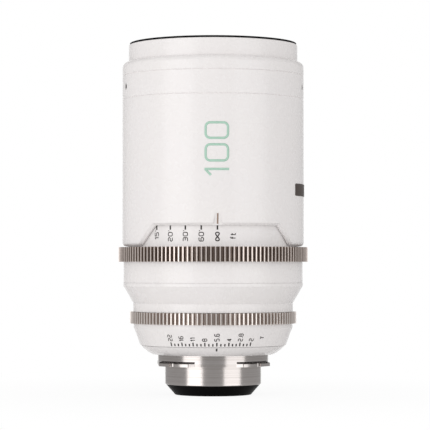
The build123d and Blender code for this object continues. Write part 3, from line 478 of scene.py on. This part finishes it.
class Grower(Bench):
    """A geometry tree with named inputs."""

    def __init__(self, name, inputs):
        tree = bpy.data.node_groups.new(name, "GeometryNodeTree")
        super().__init__(tree)
        self.keys = {}
        tree.interface.new_socket("Geometry", in_out="INPUT", socket_type="NodeSocketGeometry")
        for label, kind in inputs.items():
            socket = tree.interface.new_socket(label, in_out="INPUT", socket_type="NodeSocket" + kind)
            self.keys[label] = socket.identifier
        tree.interface.new_socket("Geometry", in_out="OUTPUT", socket_type="NodeSocketGeometry")
        self.given = self.node("NodeGroupInput")

    def asked(self, label):
        return Value(self, self.given.outputs[label])

    def carried(self, name, kind):
        """A value that each point carries under a name."""
        settings = {"data_type": kind}
        return self.take("GeometryNodeInputNamedAttribute", settings, {"Name": name}, "Attribute")

    def placed(self, thing, **ways):
        """A copy of a thing on each given point."""
        values = {"Points": self.asked("Geometry"), "Instance": thing, **ways}
        return self.take("GeometryNodeInstanceOnPoints", values=values)

    def ring(self, resolution, radius):
        values = {"Resolution": resolution, "Radius": radius}
        return self.take("GeometryNodeCurvePrimitiveCircle", values=values)

    def end(self, geometry):
        solid = self.take("GeometryNodeRealizeInstances", values={0: geometry})
        values = {"Geometry": solid, "Material": self.asked("Material")}
        self.node("NodeGroupOutput", values={0: self.take("GeometryNodeSetMaterial", values=values)})

    def grow(self, start, values):
        """The plain mesh that the tree makes of an object, which is then removed."""
        modifier = start.modifiers.new("grown", "NODES")
        modifier.node_group = self.tree
        for label, value in values.items():
            modifier[self.keys[label]] = value
        mesh = evaluated_mesh(start)
        start.modifiers.remove(modifier)
        bpy.data.objects.remove(start)
        return mesh


def tick_grower():
    """A thin bar on each point, square to the surface that carries it."""
    inputs = {"Width": "Float", "Depth": "Float", "Length": "Float", "Lean": "Float", "Material": "Material"}
    tree = Grower("scale_ticks", inputs)
    size = tree.vector(tree.asked("Depth"), tree.asked("Width"), tree.asked("Length"))
    bar = tree.take("GeometryNodeMeshCube", values={"Size": size})
    place = tree.take("GeometryNodeInputPosition")
    azimuth = tree.number("ARCTAN2", tree.part(place, "Y"), tree.part(place, "X"))
    turn = tree.vector(0.0, tree.asked("Lean"), azimuth)
    scale = tree.vector(1.0, 1.0, tree.carried("share", "FLOAT"))
    tree.end(tree.placed(bar, Rotation=turn, Scale=scale))
    return tree


def screw_grower():
    """A copy of one screw on each point, turned to the way that the point faces."""
    tree = Grower("set_of_screws", {"Screw": "Object", "Material": "Material"})
    screw = tree.take("GeometryNodeObjectInfo", values={"Object": tree.asked("Screw")}, output="Geometry")
    facing = tree.carried("facing", "FLOAT_VECTOR")
    turn = tree.take("FunctionNodeAlignRotationToVector", {"axis": "Z"}, {"Vector": facing})
    tree.end(tree.placed(screw, Rotation=turn))
    return tree


def thread_grower():
    """A ridge that climbs round a bore."""
    inputs = {
        "Radius": "Float",
        "Height": "Float",
        "Turns": "Float",
        "Ridge": "Float",
        "Material": "Material",
    }
    tree = Grower("climbing_ridge", inputs)
    spiral = tree.take(
        "GeometryNodeCurveSpiral",
        values={
            "Resolution": RING_POINTS,
            "Rotations": tree.asked("Turns"),
            "Start Radius": tree.asked("Radius"),
            "End Radius": tree.asked("Radius"),
            "Height": tree.asked("Height"),
        },
    )
    values = {"Curve": spiral, "Profile Curve": tree.ring(3, tree.asked("Ridge")), "Fill Caps": True}
    tree.end(tree.take("GeometryNodeCurveToMesh", values=values))
    return tree


def rib_grower():
    """Low sharp rings, one over the other, that trap stray light."""
    inputs = {
        "Radius": "Float",
        "Ribs": "Int",
        "Pitch": "Float",
        "Low": "Float",
        "Ridge": "Float",
        "Material": "Material",
    }
    tree = Grower("light_trap_ribs", inputs)
    line = {
        "Count": tree.asked("Ribs"),
        "Start Location": tree.vector(0.0, 0.0, tree.asked("Low")),
        "Offset": tree.vector(0.0, 0.0, tree.asked("Pitch")),
    }
    places = tree.take("GeometryNodeMeshLine", values=line)
    circle = tree.ring(RING_POINTS, tree.asked("Radius"))
    outline = tree.ring(4, tree.asked("Ridge"))
    rib = tree.take("GeometryNodeCurveToMesh", values={"Curve": circle, "Profile Curve": outline})
    tree.end(tree.placed(rib, Points=places))
    return tree


def stroke_grower():
    """A flat painted stroke of even width along a line with rounded corners."""
    inputs = {"Width": "Float", "Depth": "Float", "Corner": "Float", "Step": "Float", "Material": "Material"}
    tree = Grower("painted_stroke", inputs)
    line = tree.take(
        "GeometryNodeFilletCurve",
        {"mode": "POLY"},
        {"Curve": tree.asked("Geometry"), "Count": 8, "Radius": tree.asked("Corner"), "Limit Radius": True},
    )
    even = {"Curve": line, "Length": tree.asked("Step")}
    line = tree.take("GeometryNodeResampleCurve", {"mode": "LENGTH"}, even)
    line = tree.take("GeometryNodeSetCurveNormal", {"mode": "Z_UP"}, {"Curve": line})
    outline = tree.take(
        "GeometryNodeCurvePrimitiveQuadrilateral",
        values={"Width": tree.asked("Width"), "Height": tree.asked("Depth")},
    )
    values = {"Curve": line, "Profile Curve": outline, "Fill Caps": True}
    tree.end(tree.take("GeometryNodeCurveToMesh", values=values))
    return tree


ticks = tick_grower()
screws = screw_grower()
threads = thread_grower()
ribs = rib_grower()
strokes = stroke_grower()


# Marks on the rings

# How far ink stands over and under the skin, how much lower each further line of one mark lies,
# and how far apart the points of a line are, in millimetres
INK_RISE = 0.05
INK_SINK = 0.06
LINE_STEP = 0.006
POINT_STEP = 0.35

# A radius outside the whole lens, in millimetres, and an azimuth beside the index, in degrees
OUTSIDE = 100
BESIDE_INDEX = 3

# Degrees on the focus scale for each millimetre of extension, and lengths in millimetres
FOCUS_GAIN = 19.1
FOCAL_LENGTH = 100.0
FOOT = 304.8

# Height of a capital, width of a digit and width of a line, in millimetres
DISTANCE_LETTERS = (2.95, 2.4, 0.46)
UNIT_LETTERS = (3.3, 2.3, 0.5)
STOP_LETTERS = (2.85, 1.8, 0.44)
SYMBOL_LETTERS = (2.7, 2.0, 0.44)

# The share of a digit's width that parts two letters
LETTER_GAP = 0.17

# The share of a word that lies before its place
STARTS = 0.0
CENTRED = 0.5
ENDS = 1.0

ROUND = ((0.5, 0), (1, 0), (1, 1), (0, 1), (0, 0))

# Each letter's share of a digit's width, its corners' share of it, and its lines in a unit box
LETTERS = {
    "0": (1.0, 0.26, [ROUND]),
    "1": (0.42, 0.0, [((0, 0.74), (1, 1), (1, 0))]),
    "2": (1.0, 0.26, [((0, 1), (1, 1), (1, 0.52), (0, 0.52), (0, 0), (1, 0))]),
    "3": (1.0, 0.26, [((0, 1), (1, 1), (1, 0), (0, 0)), ((0.2, 0.52), (1, 0.52))]),
    "4": (1.0, 0.02, [((0.76, 0), (0.76, 1), (0, 0.28), (1, 0.28))]),
    "5": (1.0, 0.2, [((1, 1), (0, 1), (0, 0.56), (1, 0.56), (1, 0), (0, 0))]),
    "6": (1.0, 0.26, [((1, 1), (0, 1), (0, 0), (1, 0), (1, 0.56), (0, 0.56))]),
    "7": (1.0, 0.0, [((0, 1), (1, 1), (0.3, 0))]),
    "8": (1.0, 0.26, [ROUND, ((0, 0.52), (1, 0.52))]),
    ".": (0.0, 0.0, [((0, 0), (0, 0.1))]),
    "'": (0.0, 0.0, [((0, 0.76), (0, 1))]),
    '"': (0.4, 0.0, [((0, 0.76), (0, 1)), ((1, 0.76), (1, 1))]),
    "T": (1.0, 0.0, [((0, 1), (1, 1)), ((0.5, 0), (0.5, 1))]),
    "f": (0.6, 0.2, [((1, 1), (0.4, 1), (0.4, 0)), ((0, 0.66), (1, 0.66))]),
    "t": (0.6, 0.2, [((0.3, 0.95), (0.3, 0), (1, 0)), ((0, 0.66), (1, 0.66))]),
}


class Skin:
    """The outside of a CAD node, on which marks are laid."""

    def __init__(self, node):
        mesh = nodes[node].data
        points = [vertex.co for vertex in mesh.vertices]
        self.tree = BVHTree.FromPolygons(points, [face.vertices for face in mesh.polygons])

    def at(self, azimuth, height):
        """The place and the outward direction of the skin."""
        way = outwards(azimuth)
        start = way * OUTSIDE * MM + Vector((0, 0, height * MM))
        place, normal, _, _ = self.tree.ray_cast(start, -way)
        if normal.dot(way) < 0:
            normal = -normal
        return place, normal

    def radius(self, azimuth, height):
        place, _ = self.at(azimuth, height)
        return math.hypot(place.x, place.y) / MM

    def lean(self, height):
        """The angle in radians by which the skin faces down."""
        _, normal = self.at(BESIDE_INDEX, height)
        return math.asin(-normal.z)

    def wrapped(self, meshes, azimuth, height):
        """Lays flat meshes on the skin: X goes up the ring, Y against the azimuth and Z outwards."""
        middle = self.radius(azimuth, height)
        lean = math.cos(self.lean(height))
        for mesh in meshes:
            for vertex in mesh.vertices:
                up, side, out = vertex.co / MM
                place, normal = self.at(azimuth - math.degrees(side / middle), height + up * lean)
                vertex.co = place + normal * (out * MM)
        return meshes


def painted_lines(lines, width, material, corner=0.0):
    """Flat strokes of one width along lines in millimetres; each line comes with whether it closes."""
    curve = bpy.data.curves.new("lines", "CURVE")
    curve.dimensions = "3D"
    for order, (points, closed) in enumerate(lines):
        spline = curve.splines.new("POLY")
        spline.points.add(len(points) - 1)
        for point, (along, side) in zip(spline.points, points):
            point.co = (along * MM, side * MM, -order * LINE_STEP * MM, 1)
        spline.use_cyclic_u = closed
    values = {
        "Width": width * MM,
        "Depth": (INK_RISE + INK_SINK) * MM,
        "Corner": corner * MM,
        "Step": POINT_STEP * MM,
        "Material": material,
    }
    mesh = strokes.grow(new_object("lines", curve), values)
    for vertex in mesh.vertices:
        vertex.co.z += (INK_RISE - INK_SINK) / 2 * MM
    return mesh


def stroke_letters(words, size, before):
    """Letters of even strokes, their middle on the X axis and a share of their length before the origin."""
    cap_height, digit_width, weight = size
    gap = digit_width * LETTER_GAP
    tall = cap_height - weight
    widths = [(digit_width - weight) * LETTERS[letter][0] for letter in words]
    along = weight / 2 - before * (sum(widths) + weight * len(words) + gap * (len(words) - 1))
    meshes = []
    for letter, wide in zip(words, widths):
        corner, drawn = LETTERS[letter][1:]
        lines = []
        for points in drawn:
            lines.append(([(along + x * wide, y * tall - tall / 2) for x, y in points], points is ROUND))
        meshes.append(painted_lines(lines, weight, dark_ink, digit_width * corner))
        along += wide + weight + gap
    return meshes


def joined(name, meshes, material):
    """One mesh of several, closed, with one material."""
    whole = bmesh.new()
    for mesh in meshes:
        whole.from_mesh(mesh)
        bpy.data.meshes.remove(mesh)
    result = bpy.data.meshes.new(name)
    whole.to_mesh(result)
    whole.free()
    tidy_mesh(result)
    result.materials.clear()
    result.materials.append(material)
    for face in result.polygons:
        face.material_index = 0
    return result


def points_object(points, shares=None, facings=None):
    """Loose points that a tree puts things on."""
    mesh = bpy.data.meshes.new("places")
    mesh.from_pydata(points, [], [])
    if shares:
        mesh.attributes.new("share", "FLOAT", "POINT").data.foreach_set("value", shares)
    if facings:
        flat = [part for facing in facings for part in facing]
        mesh.attributes.new("facing", "FLOAT_VECTOR", "POINT").data.foreach_set("vector", flat)
    return new_object("places", mesh)


def ring_ticks(name, skin, body, marks, length, width, foot):
    """Ticks that stand on one height; marks are pairs of azimuth and share of the full length."""
    points = []
    lean = skin.lean(foot)
    for azimuth, share in marks:
        middle = foot + length * share / 2 * math.cos(lean)
        place, normal = skin.at(azimuth, middle)
        points.append(place + normal * ((INK_RISE - INK_SINK) / 2 * MM))
    values = {
        "Width": width * MM,
        "Depth": (INK_RISE + INK_SINK) * MM,
        "Length": length * MM,
        "Lean": lean,
        "Material": dark_ink,
    }
    mesh = ticks.grow(points_object(points, [share for _, share in marks]), values)
    mesh.name = name
    new_piece(name, mesh, body)


def focus_azimuth(feet):
    """Where a distance stands on the focus scale, in degrees."""
    return -FOCUS_GAIN * FOCAL_LENGTH ** 2 / (feet * FOOT - FOCAL_LENGTH)


def infinity_stroke():
    """A lying figure eight as a closed flat line."""
    count = 48
    half_length, fullness = 2.3, 2.0
    points = []
    for number in range(count):
        turn = 2 * math.pi * number / count
        points.append((half_length * math.cos(turn), fullness * math.sin(turn) * math.cos(turn)))
    return points


def distance_scale():
    """The feet scale on the ring in the housing's window."""
    skin = Skin("focus_scale_ring")
    feet = {f"{mark}'": mark for mark in (60, 30, 20, 15, 12, 10, 8, 7, 6, 5, 4)}
    feet["4'6\""] = 4.5
    feet["3'8\""] = 3 + 8 / 12
    places = {words: focus_azimuth(mark) for words, mark in feet.items()}
    numbers_end = 74.9
    unit_azimuth, unit_height = 10.2, 71.8
    infinity_width, infinity_height = 0.62, 71.5
    labels = []
    for words, azimuth in places.items():
        labels += skin.wrapped(stroke_letters(words, DISTANCE_LETTERS, ENDS), azimuth, numbers_end)
    labels += skin.wrapped(stroke_letters("ft", UNIT_LETTERS, CENTRED), unit_azimuth, unit_height)
    infinity = painted_lines([(infinity_stroke(), True)], infinity_width, dark_ink)
    labels += skin.wrapped([infinity], 0, infinity_height)
    new_piece("distance_numbers", joined("distance_numbers", labels, dark_ink), "focus")
    marks = [(0, 1.0)] + [(azimuth, 1.0) for azimuth in places.values()]
    ring_ticks("distance_ticks", skin, "focus", marks, length=2.3, width=0.85, foot=75.25)


def stop_scale():
    """The T scale on the cone of the aperture ring, with two marks between the stops."""
    skin = Skin("iris_ring")
    stops = {
        "22": -36.2,
        "16": -26.9,
        "11": -18.0,
        "8": -9.0,
        "5.6": 0.0,
        "4": 9.1,
        "2.8": 17.7,
        "2": 26.6,
    }
    numbers_start = 14.5
    symbol_azimuth, symbol_height = 36.0, 16.4
    labels = []
    for words, azimuth in stops.items():
        labels += skin.wrapped(stroke_letters(words, STOP_LETTERS, STARTS), azimuth, numbers_start)
    labels += skin.wrapped(stroke_letters("T", SYMBOL_LETTERS, CENTRED), symbol_azimuth, symbol_height)
    new_piece("stop_numbers", joined("stop_numbers", labels, dark_ink), "iris")
    whole = list(stops.values())
    short = 0.68
    marks = [(azimuth, 1.0) for azimuth in whole]
    for first, second in zip(whole, whole[1:]):
        for share in (1 / 3, 2 / 3):
            marks.append((first + (second - first) * share, short))
    ring_ticks("stop_ticks", skin, "iris", marks, length=2.15, width=0.74, foot=11.85)
    index = [(0, 1.0)]
    ring_ticks("stop_index", Skin("rear_ring"), "lens_body", index, length=3.3, width=0.85, foot=8.5)


def focal_number():
    """The focal length on the housing, one stroke wide, read upwards."""
    skin = Skin("front_housing")
    width, tall, corner = 1.3, 13.4, 2.4
    azimuth, start = 7.0, 104.2
    stem_place = 3.75
    flag_start, flag_drop = 0.45, 3.5
    flag_end, flag_top = 3.6, 0.49
    noughts = ((7.7, 17.7), (19.9, 29.6))
    half = width / 2
    stem = [(stem_place, 0), (stem_place, tall)]
    flag = [(flag_start, tall - flag_drop), (flag_end, tall - flag_top)]
    meshes = [painted_lines([(stem, False), (flag, False)], width, mint_ink)]
    foot, top = half, tall - half
    for first, last in noughts:
        near, far = first + half, last - half
        line = [((first + last) / 2, foot), (far, foot), (far, top), (near, top), (near, foot)]
        meshes.append(painted_lines([(line, True)], width, mint_ink, corner))
    skin.wrapped(meshes, azimuth, start)
    new_piece("focal_number", joined("focal_number", meshes, mint_ink), "lens_body")
    index_length, index_width, index_foot = 8.1, 0.85, 78.35
    line = [(0, 0), (index_length, 0)]
    index = skin.wrapped([painted_lines([(line, False)], index_width, taupe_ink)], 0, index_foot)
    new_piece("distance_index", joined("distance_index", index, taupe_ink), "lens_body")


def side_plate():
    """A bare dark plate with rounded corners, seated on the side of the housing."""
    skin = Skin("front_housing")
    first, last = 60.0, 112.0
    low, high = 94.4, 101.2
    corner = 0.9
    sunk, bevel, shoulder = 0.05, 0.18, 0.4
    columns = 72
    across = math.radians(last - first) * HOUSING_RADIUS
    points = []
    for column in range(columns + 1):
        arc = across * (0.5 - 0.5 * math.cos(math.pi * column / columns))
        near = min(arc, across - arc)
        inset = 0.0
        if near < corner:
            inset = corner - math.sqrt(corner ** 2 - (corner - near) ** 2)
        azimuth = first + (last - first) * arc / across
        edge = min(near, bevel)
        side = PLATE_RISE - bevel + edge * shoulder
        top = PLATE_RISE - bevel + edge
        section = [
            (low + inset, -sunk),
            (low + inset, side),
            (low + inset + bevel, top),
            (high - inset - bevel, top),
            (high - inset, side),
            (high - inset, -sunk),
        ]
        for height, out in section:
            place, normal = skin.at(azimuth, height)
            points.append(place + normal * (out * MM))
    faces = []
    size = len(section)
    for column in range(columns):
        for row in range(size):
            here = column * size + row
            over = column * size + (row + 1) % size
            faces.append((here, over, over + size, here + size))
    faces.append(tuple(range(size)))
    faces.append(tuple(range(columns * size, (columns + 1) * size)))
    mesh = mesh_of("side_plate", points, faces, badge_brown)
    smooth_mesh(mesh, BAND_EDGE)
    new_piece("side_plate", mesh, "lens_body")


# Screws, threads and ribs

def screw_mesh(name, sections, material):
    """A screw along Z from pairs of outline and height, closed by a point at each end."""
    segments = 36
    points = [(0, 0, sections[0][1] * MM)]
    for outline, height in sections:
        for number in range(segments):
            turn = 2 * math.pi * number / segments
            reach = outline(turn) * MM
            points.append((reach * math.cos(turn), reach * math.sin(turn), height * MM))
    points.append((0, 0, sections[-1][1] * MM))
    faces = []
    for number in range(segments):
        over = (number + 1) % segments
        faces.append((0, 1 + number, 1 + over))
        for row in range(len(sections) - 1):
            low = 1 + row * segments
            high = low + segments
            faces.append((low + number, low + over, high + over, high + number))
        last = 1 + (len(sections) - 1) * segments
        faces.append((len(points) - 1, last + over, last + number))
    mesh = mesh_of(name, points, faces, material)
    smooth_mesh(mesh, SCREW_EDGE)
    return mesh


def circle_of(radius):
    return lambda turn: radius


def hexagon_of(inradius):
    return lambda turn: inradius / math.cos(turn % (math.pi / 3) - math.pi / 6)


def star_of(radius):
    points, depth = 6, 0.13
    return lambda turn: radius * (1 + depth * math.cos(points * turn))


def screw_set(name, model, places, facings, slot, replaced):
    """Copies of one screw on a ring, which stand for a CAD node."""
    thing = new_object("screw", model)
    mesh = screws.grow(points_object(places, None, facings), {"Screw": thing, "Material": finishes[slot]})
    bpy.data.objects.remove(thing)
    smooth_mesh(mesh, SCREW_EDGE)
    piece = new_piece(name, mesh, "lens_body")
    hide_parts(replaced)


def clamp_screw_set():
    """Four set screws with hexagon sockets in the clamp ring."""
    low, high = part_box("clamp_screws")
    middle = Vector((0, 0, (low.z + high.z) / 2))
    tip, end = 44.15, 50.6
    length = end - tip
    point, thread, rim = circle_of(1.1), circle_of(1.68), circle_of(1.35)
    socket, socket_floor = hexagon_of(0.8), hexagon_of(0.78)
    cone, bevel, socket_depth = 0.55, 0.35, 1.7
    azimuths = (-105, -75, 75, 105)
    sections = [
        (point, 0.0),
        (thread, cone),
        (thread, length - bevel),
        (rim, length),
        (socket, length),
        (socket_floor, length - socket_depth),
    ]
    model = screw_mesh("set_screw", sections, finishes["dark_screw_steel"])
    facings = [outwards(azimuth) for azimuth in azimuths]
    places = [way * tip * MM + middle for way in facings]
    screw_set("clamp_socket_screws", model, places, facings, "dark_screw_steel", "clamp_screws")


def mount_screw_set():
    """Six screws with star drives in the neck of the mount."""
    low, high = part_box("mount_screws")
    length = (high.z - low.z) / MM
    ring_radius = 28.9
    point, shank = circle_of(0.75), circle_of(0.95)
    head, rim = circle_of(1.58), circle_of(1.4)
    drive, drive_floor = star_of(0.82), star_of(0.78)
    cone, head_height, bevel, drive_depth = 0.25, 1.1, 0.2, 0.7
    azimuths = range(90, 450, 60)
    sections = [
        (point, -length),
        (shank, -length + cone),
        (shank, -head_height),
        (head, -head_height),
        (head, -bevel),
        (rim, 0.0),
        (drive, 0.0),
        (drive_floor, -drive_depth),
    ]
    model = screw_mesh("neck_screw", sections, finishes["screw_steel"])
    foot = Vector((0, 0, low.z))
    places = [outwards(azimuth) * (ring_radius * MM) + foot for azimuth in azimuths]
    facings = [Vector((0, 0, -1))] * len(places)
    screw_set("mount_star_screws", model, places, facings, "screw_steel", "mount_screws")


def front_details():
    """The filter thread and the light trap round the front glass."""
    black = finishes["black_anodised"]
    thread_foot = 176.9
    thread = {
        "Radius": 42.5 * MM,
        "Height": 3.4 * MM,
        "Turns": 3.4,
        "Ridge": 0.3 * MM,
        "Material": black,
    }
    trap = {
        "Radius": 41.85 * MM,
        "Ribs": 5,
        "Pitch": 0.65 * MM,
        "Low": 172.75 * MM,
        "Ridge": 0.24 * MM,
        "Material": black,
    }
    plans = (
        ("filter_thread_turns", threads, thread, thread_foot),
        ("front_light_trap", ribs, trap, 0.0),
    )
    for name, tree, values, lift in plans:
        mesh = tree.grow(points_object([(0, 0, 0)]), values)
        for vertex in mesh.vertices:
            vertex.co.z += lift * MM
        tidy_mesh(mesh)
        new_piece(name, mesh, "lens_body")


def slip_band():
    """A thin white sliding band in the seam under the focus ring."""
    segments = 192
    inner, outer = 47.5, 50.2
    seam_low, seam_high = 46.1, 46.3
    room = 0.03
    low, high = seam_low + room, seam_high - room
    section = [(inner, low), (outer, low), (outer, high), (inner, high)]
    points = []
    for number in range(segments):
        turn = 2 * math.pi * number / segments
        for radius, height in section:
            points.append((radius * math.cos(turn) * MM, radius * math.sin(turn) * MM, height * MM))
    size = len(section)
    faces = []
    for number in range(segments):
        here = number * size
        over = (number + 1) % segments * size
        for corner in range(size):
            beside = (corner + 1) % size
            faces.append((here + corner, over + corner, over + beside, here + beside))
    mesh = mesh_of("seam_slip_band", points, faces, finishes["white_paint"])
    smooth_mesh(mesh, BAND_EDGE)
    new_piece("seam_slip_band", mesh, "lens_body")


distance_scale()
stop_scale()
focal_number()
side_plate()
clamp_screw_set()
mount_screw_set()
front_details()
slip_band()


# Camera

# Millimetres and degrees, from the photo's perspective; the focal length in pixels of a square frame
LENS_DISTANCE = 1193.0
CAMERA_AZIMUTH = -2.8
CAMERA_HEIGHT = 55.9
CAMERA_PITCH = 1.363
CAMERA_YAW = 0.051
FOCAL_PIXELS = 2118.0
FRAME_PIXELS = 430.0
SENSOR_WIDTH = 36.0

lens = bpy.data.cameras.new("studio_camera")
lens.sensor_width = SENSOR_WIDTH
lens.lens = FOCAL_PIXELS / FRAME_PIXELS * SENSOR_WIDTH
lens.clip_start = 0.05
lens.clip_end = 20.0
camera = new_object("studio_camera", lens)
camera.location = outwards(CAMERA_AZIMUTH) * LENS_DISTANCE * MM
camera.location.z = CAMERA_HEIGHT * MM
camera.rotation_euler = (math.radians(90 + CAMERA_PITCH), 0, math.radians(CAMERA_AZIMUTH - CAMERA_YAW))
bpy.context.scene.camera = camera


# Studio

# Name, azimuth from the camera's own in degrees, width and height in metres, and radiance
SOFT_BOXES = (
    ("left_soft_box", -44.5, 0.92, 1.34, 1.5),
    ("right_soft_box", 46.6, 1.01, 0.62, 1.18),
)
BOX_DISTANCE = 1.3
BOX_MIDDLE = 0.05

# Strength of the air, and how steeply a ray climbs where the ceiling starts and where it is whole
ROOM_LIGHT = 0.475
CEILING_LIGHT = 0.32
ROOM_GLOSS = 0.4
CEILING_DARKNESS = 0.3
CEILING_CLIMB = (0.08, 0.45)

# Just under the lens, so that no face of it lies in the floor
FLOOR_HEIGHT = cad_low.z - 0.02 * MM
FLOOR_HALF = 3.0
FLOOR_TONES = ((0.89, 0.89, 0.89, 1), (0.92, 0.92, 0.92, 1))

# How much of the floor glows near the lens, and the radii in millimetres over which that becomes all
NEAR_GLOW = 0.92
SHADOW_RADII = (40, 240)

# Metres, and the angle that the backdrop spans in degrees
BACKDROP_DISTANCE = 1.7
BACKDROP_LOW = -1.2
BACKDROP_HIGH = 1.8
BACKDROP_SPAN = 40
BACKDROP_COLUMNS = 24


def soft_box(name, azimuth, width, height, radiance):
    """A broad soft lamp beside the camera, upright and turned to the lens."""
    lamp = bpy.data.lights.new(name, "AREA")
    lamp.shape = "RECTANGLE"
    lamp.size = width
    lamp.size_y = height
    lamp.energy = radiance * width * height * math.pi
    holder = new_object(name, lamp)
    holder.location = outwards(CAMERA_AZIMUTH + azimuth) * BOX_DISTANCE + Vector((0, 0, BOX_MIDDLE))
    holder.rotation_euler = (math.radians(90), 0, math.radians(CAMERA_AZIMUTH + azimuth))
    holder.visible_camera = False


def studio_world():
    """White to the camera and through glass, grey in gloss, and a pale light that is stronger from above."""
    world = bpy.data.worlds.new("studio_air")
    world.use_nodes = True
    bpy.context.scene.world = world
    bench = Bench(world.node_tree)
    bench.tree.nodes.clear()
    seen = bench.rays("Is Camera Ray", "Is Transmission Ray")
    gloss = bench.rays("Is Glossy Ray")
    way = bench.take("ShaderNodeTexCoord", output="Generated")
    overhead = bench.smooth(bench.part(way, "Z"), *CEILING_CLIMB)
    diffuse = ROOM_LIGHT + overhead * CEILING_LIGHT
    mirrored = ROOM_GLOSS - overhead * CEILING_DARKNESS
    strength = bench.number("MAXIMUM", seen, diffuse + gloss * (mirrored - diffuse))
    air = bench.take("ShaderNodeBackground", values={"Color": WHITE, "Strength": strength})
    bench.node("ShaderNodeOutputWorld", values={"Surface": air})


def floor_finish():
    """Pale floor that reads as white and keeps the shadow near the lens, and is clear from below."""
    finish = Finish("pale_floor")
    speckle = finish.blend(finish.noise(0.02, 3), *FLOOR_TONES)
    matt = finish.take("ShaderNodeBsdfDiffuse", values={"Color": speckle})
    away = finish.smooth(finish.radius(), *SHADOW_RADII)
    seen = finish.rays("Is Camera Ray", "Is Transmission Ray")
    mixed = finish.mix(seen * (NEAR_GLOW + away * (1 - NEAR_GLOW)), matt, finish.glow())
    below = finish.take("ShaderNodeNewGeometry", output="Backfacing")
    return finish.done(finish.mix(below, mixed, finish.clear()))


def backdrop_finish():
    """White to the camera, in gloss and through glass, and nothing to other light."""
    finish = Finish("white_backdrop")
    seen = finish.rays("Is Camera Ray", "Is Glossy Ray", "Is Transmission Ray")
    return finish.done(finish.mix(seen, finish.clear(), finish.glow()))


def staged(name, points, faces, material):
    mesh = bpy.data.meshes.new(name)
    mesh.from_pydata(points, [], faces)
    mesh.materials.append(material)
    thing = new_object(name, mesh)
    return thing


def studio_set():
    """The floor, and a curved backdrop behind the lens."""
    half = FLOOR_HALF
    corners = [(-half, -half), (half, -half), (half, half), (-half, half)]
    floor = staged("floor", [(x, y, FLOOR_HEIGHT) for x, y in corners], [(0, 1, 2, 3)], floor_finish())
    floor.visible_glossy = False
    floor.visible_shadow = False
    points = []
    faces = []
    for column in range(BACKDROP_COLUMNS + 1):
        share = column / BACKDROP_COLUMNS - 0.5
        way = outwards(CAMERA_AZIMUTH + 180 + BACKDROP_SPAN * share) * BACKDROP_DISTANCE
        points += [(way.x, way.y, BACKDROP_LOW), (way.x, way.y, BACKDROP_HIGH)]
    for column in range(BACKDROP_COLUMNS):
        low = column * 2
        faces.append((low, low + 1, low + 3, low + 2))
    backdrop = staged("backdrop", points, faces, backdrop_finish())
    backdrop.visible_shadow = False
    backdrop.visible_diffuse = False


for box in SOFT_BOXES:
    soft_box(*box)
studio_world()
studio_set()
bpy.context.scene.view_settings.view_transform = "Standard"
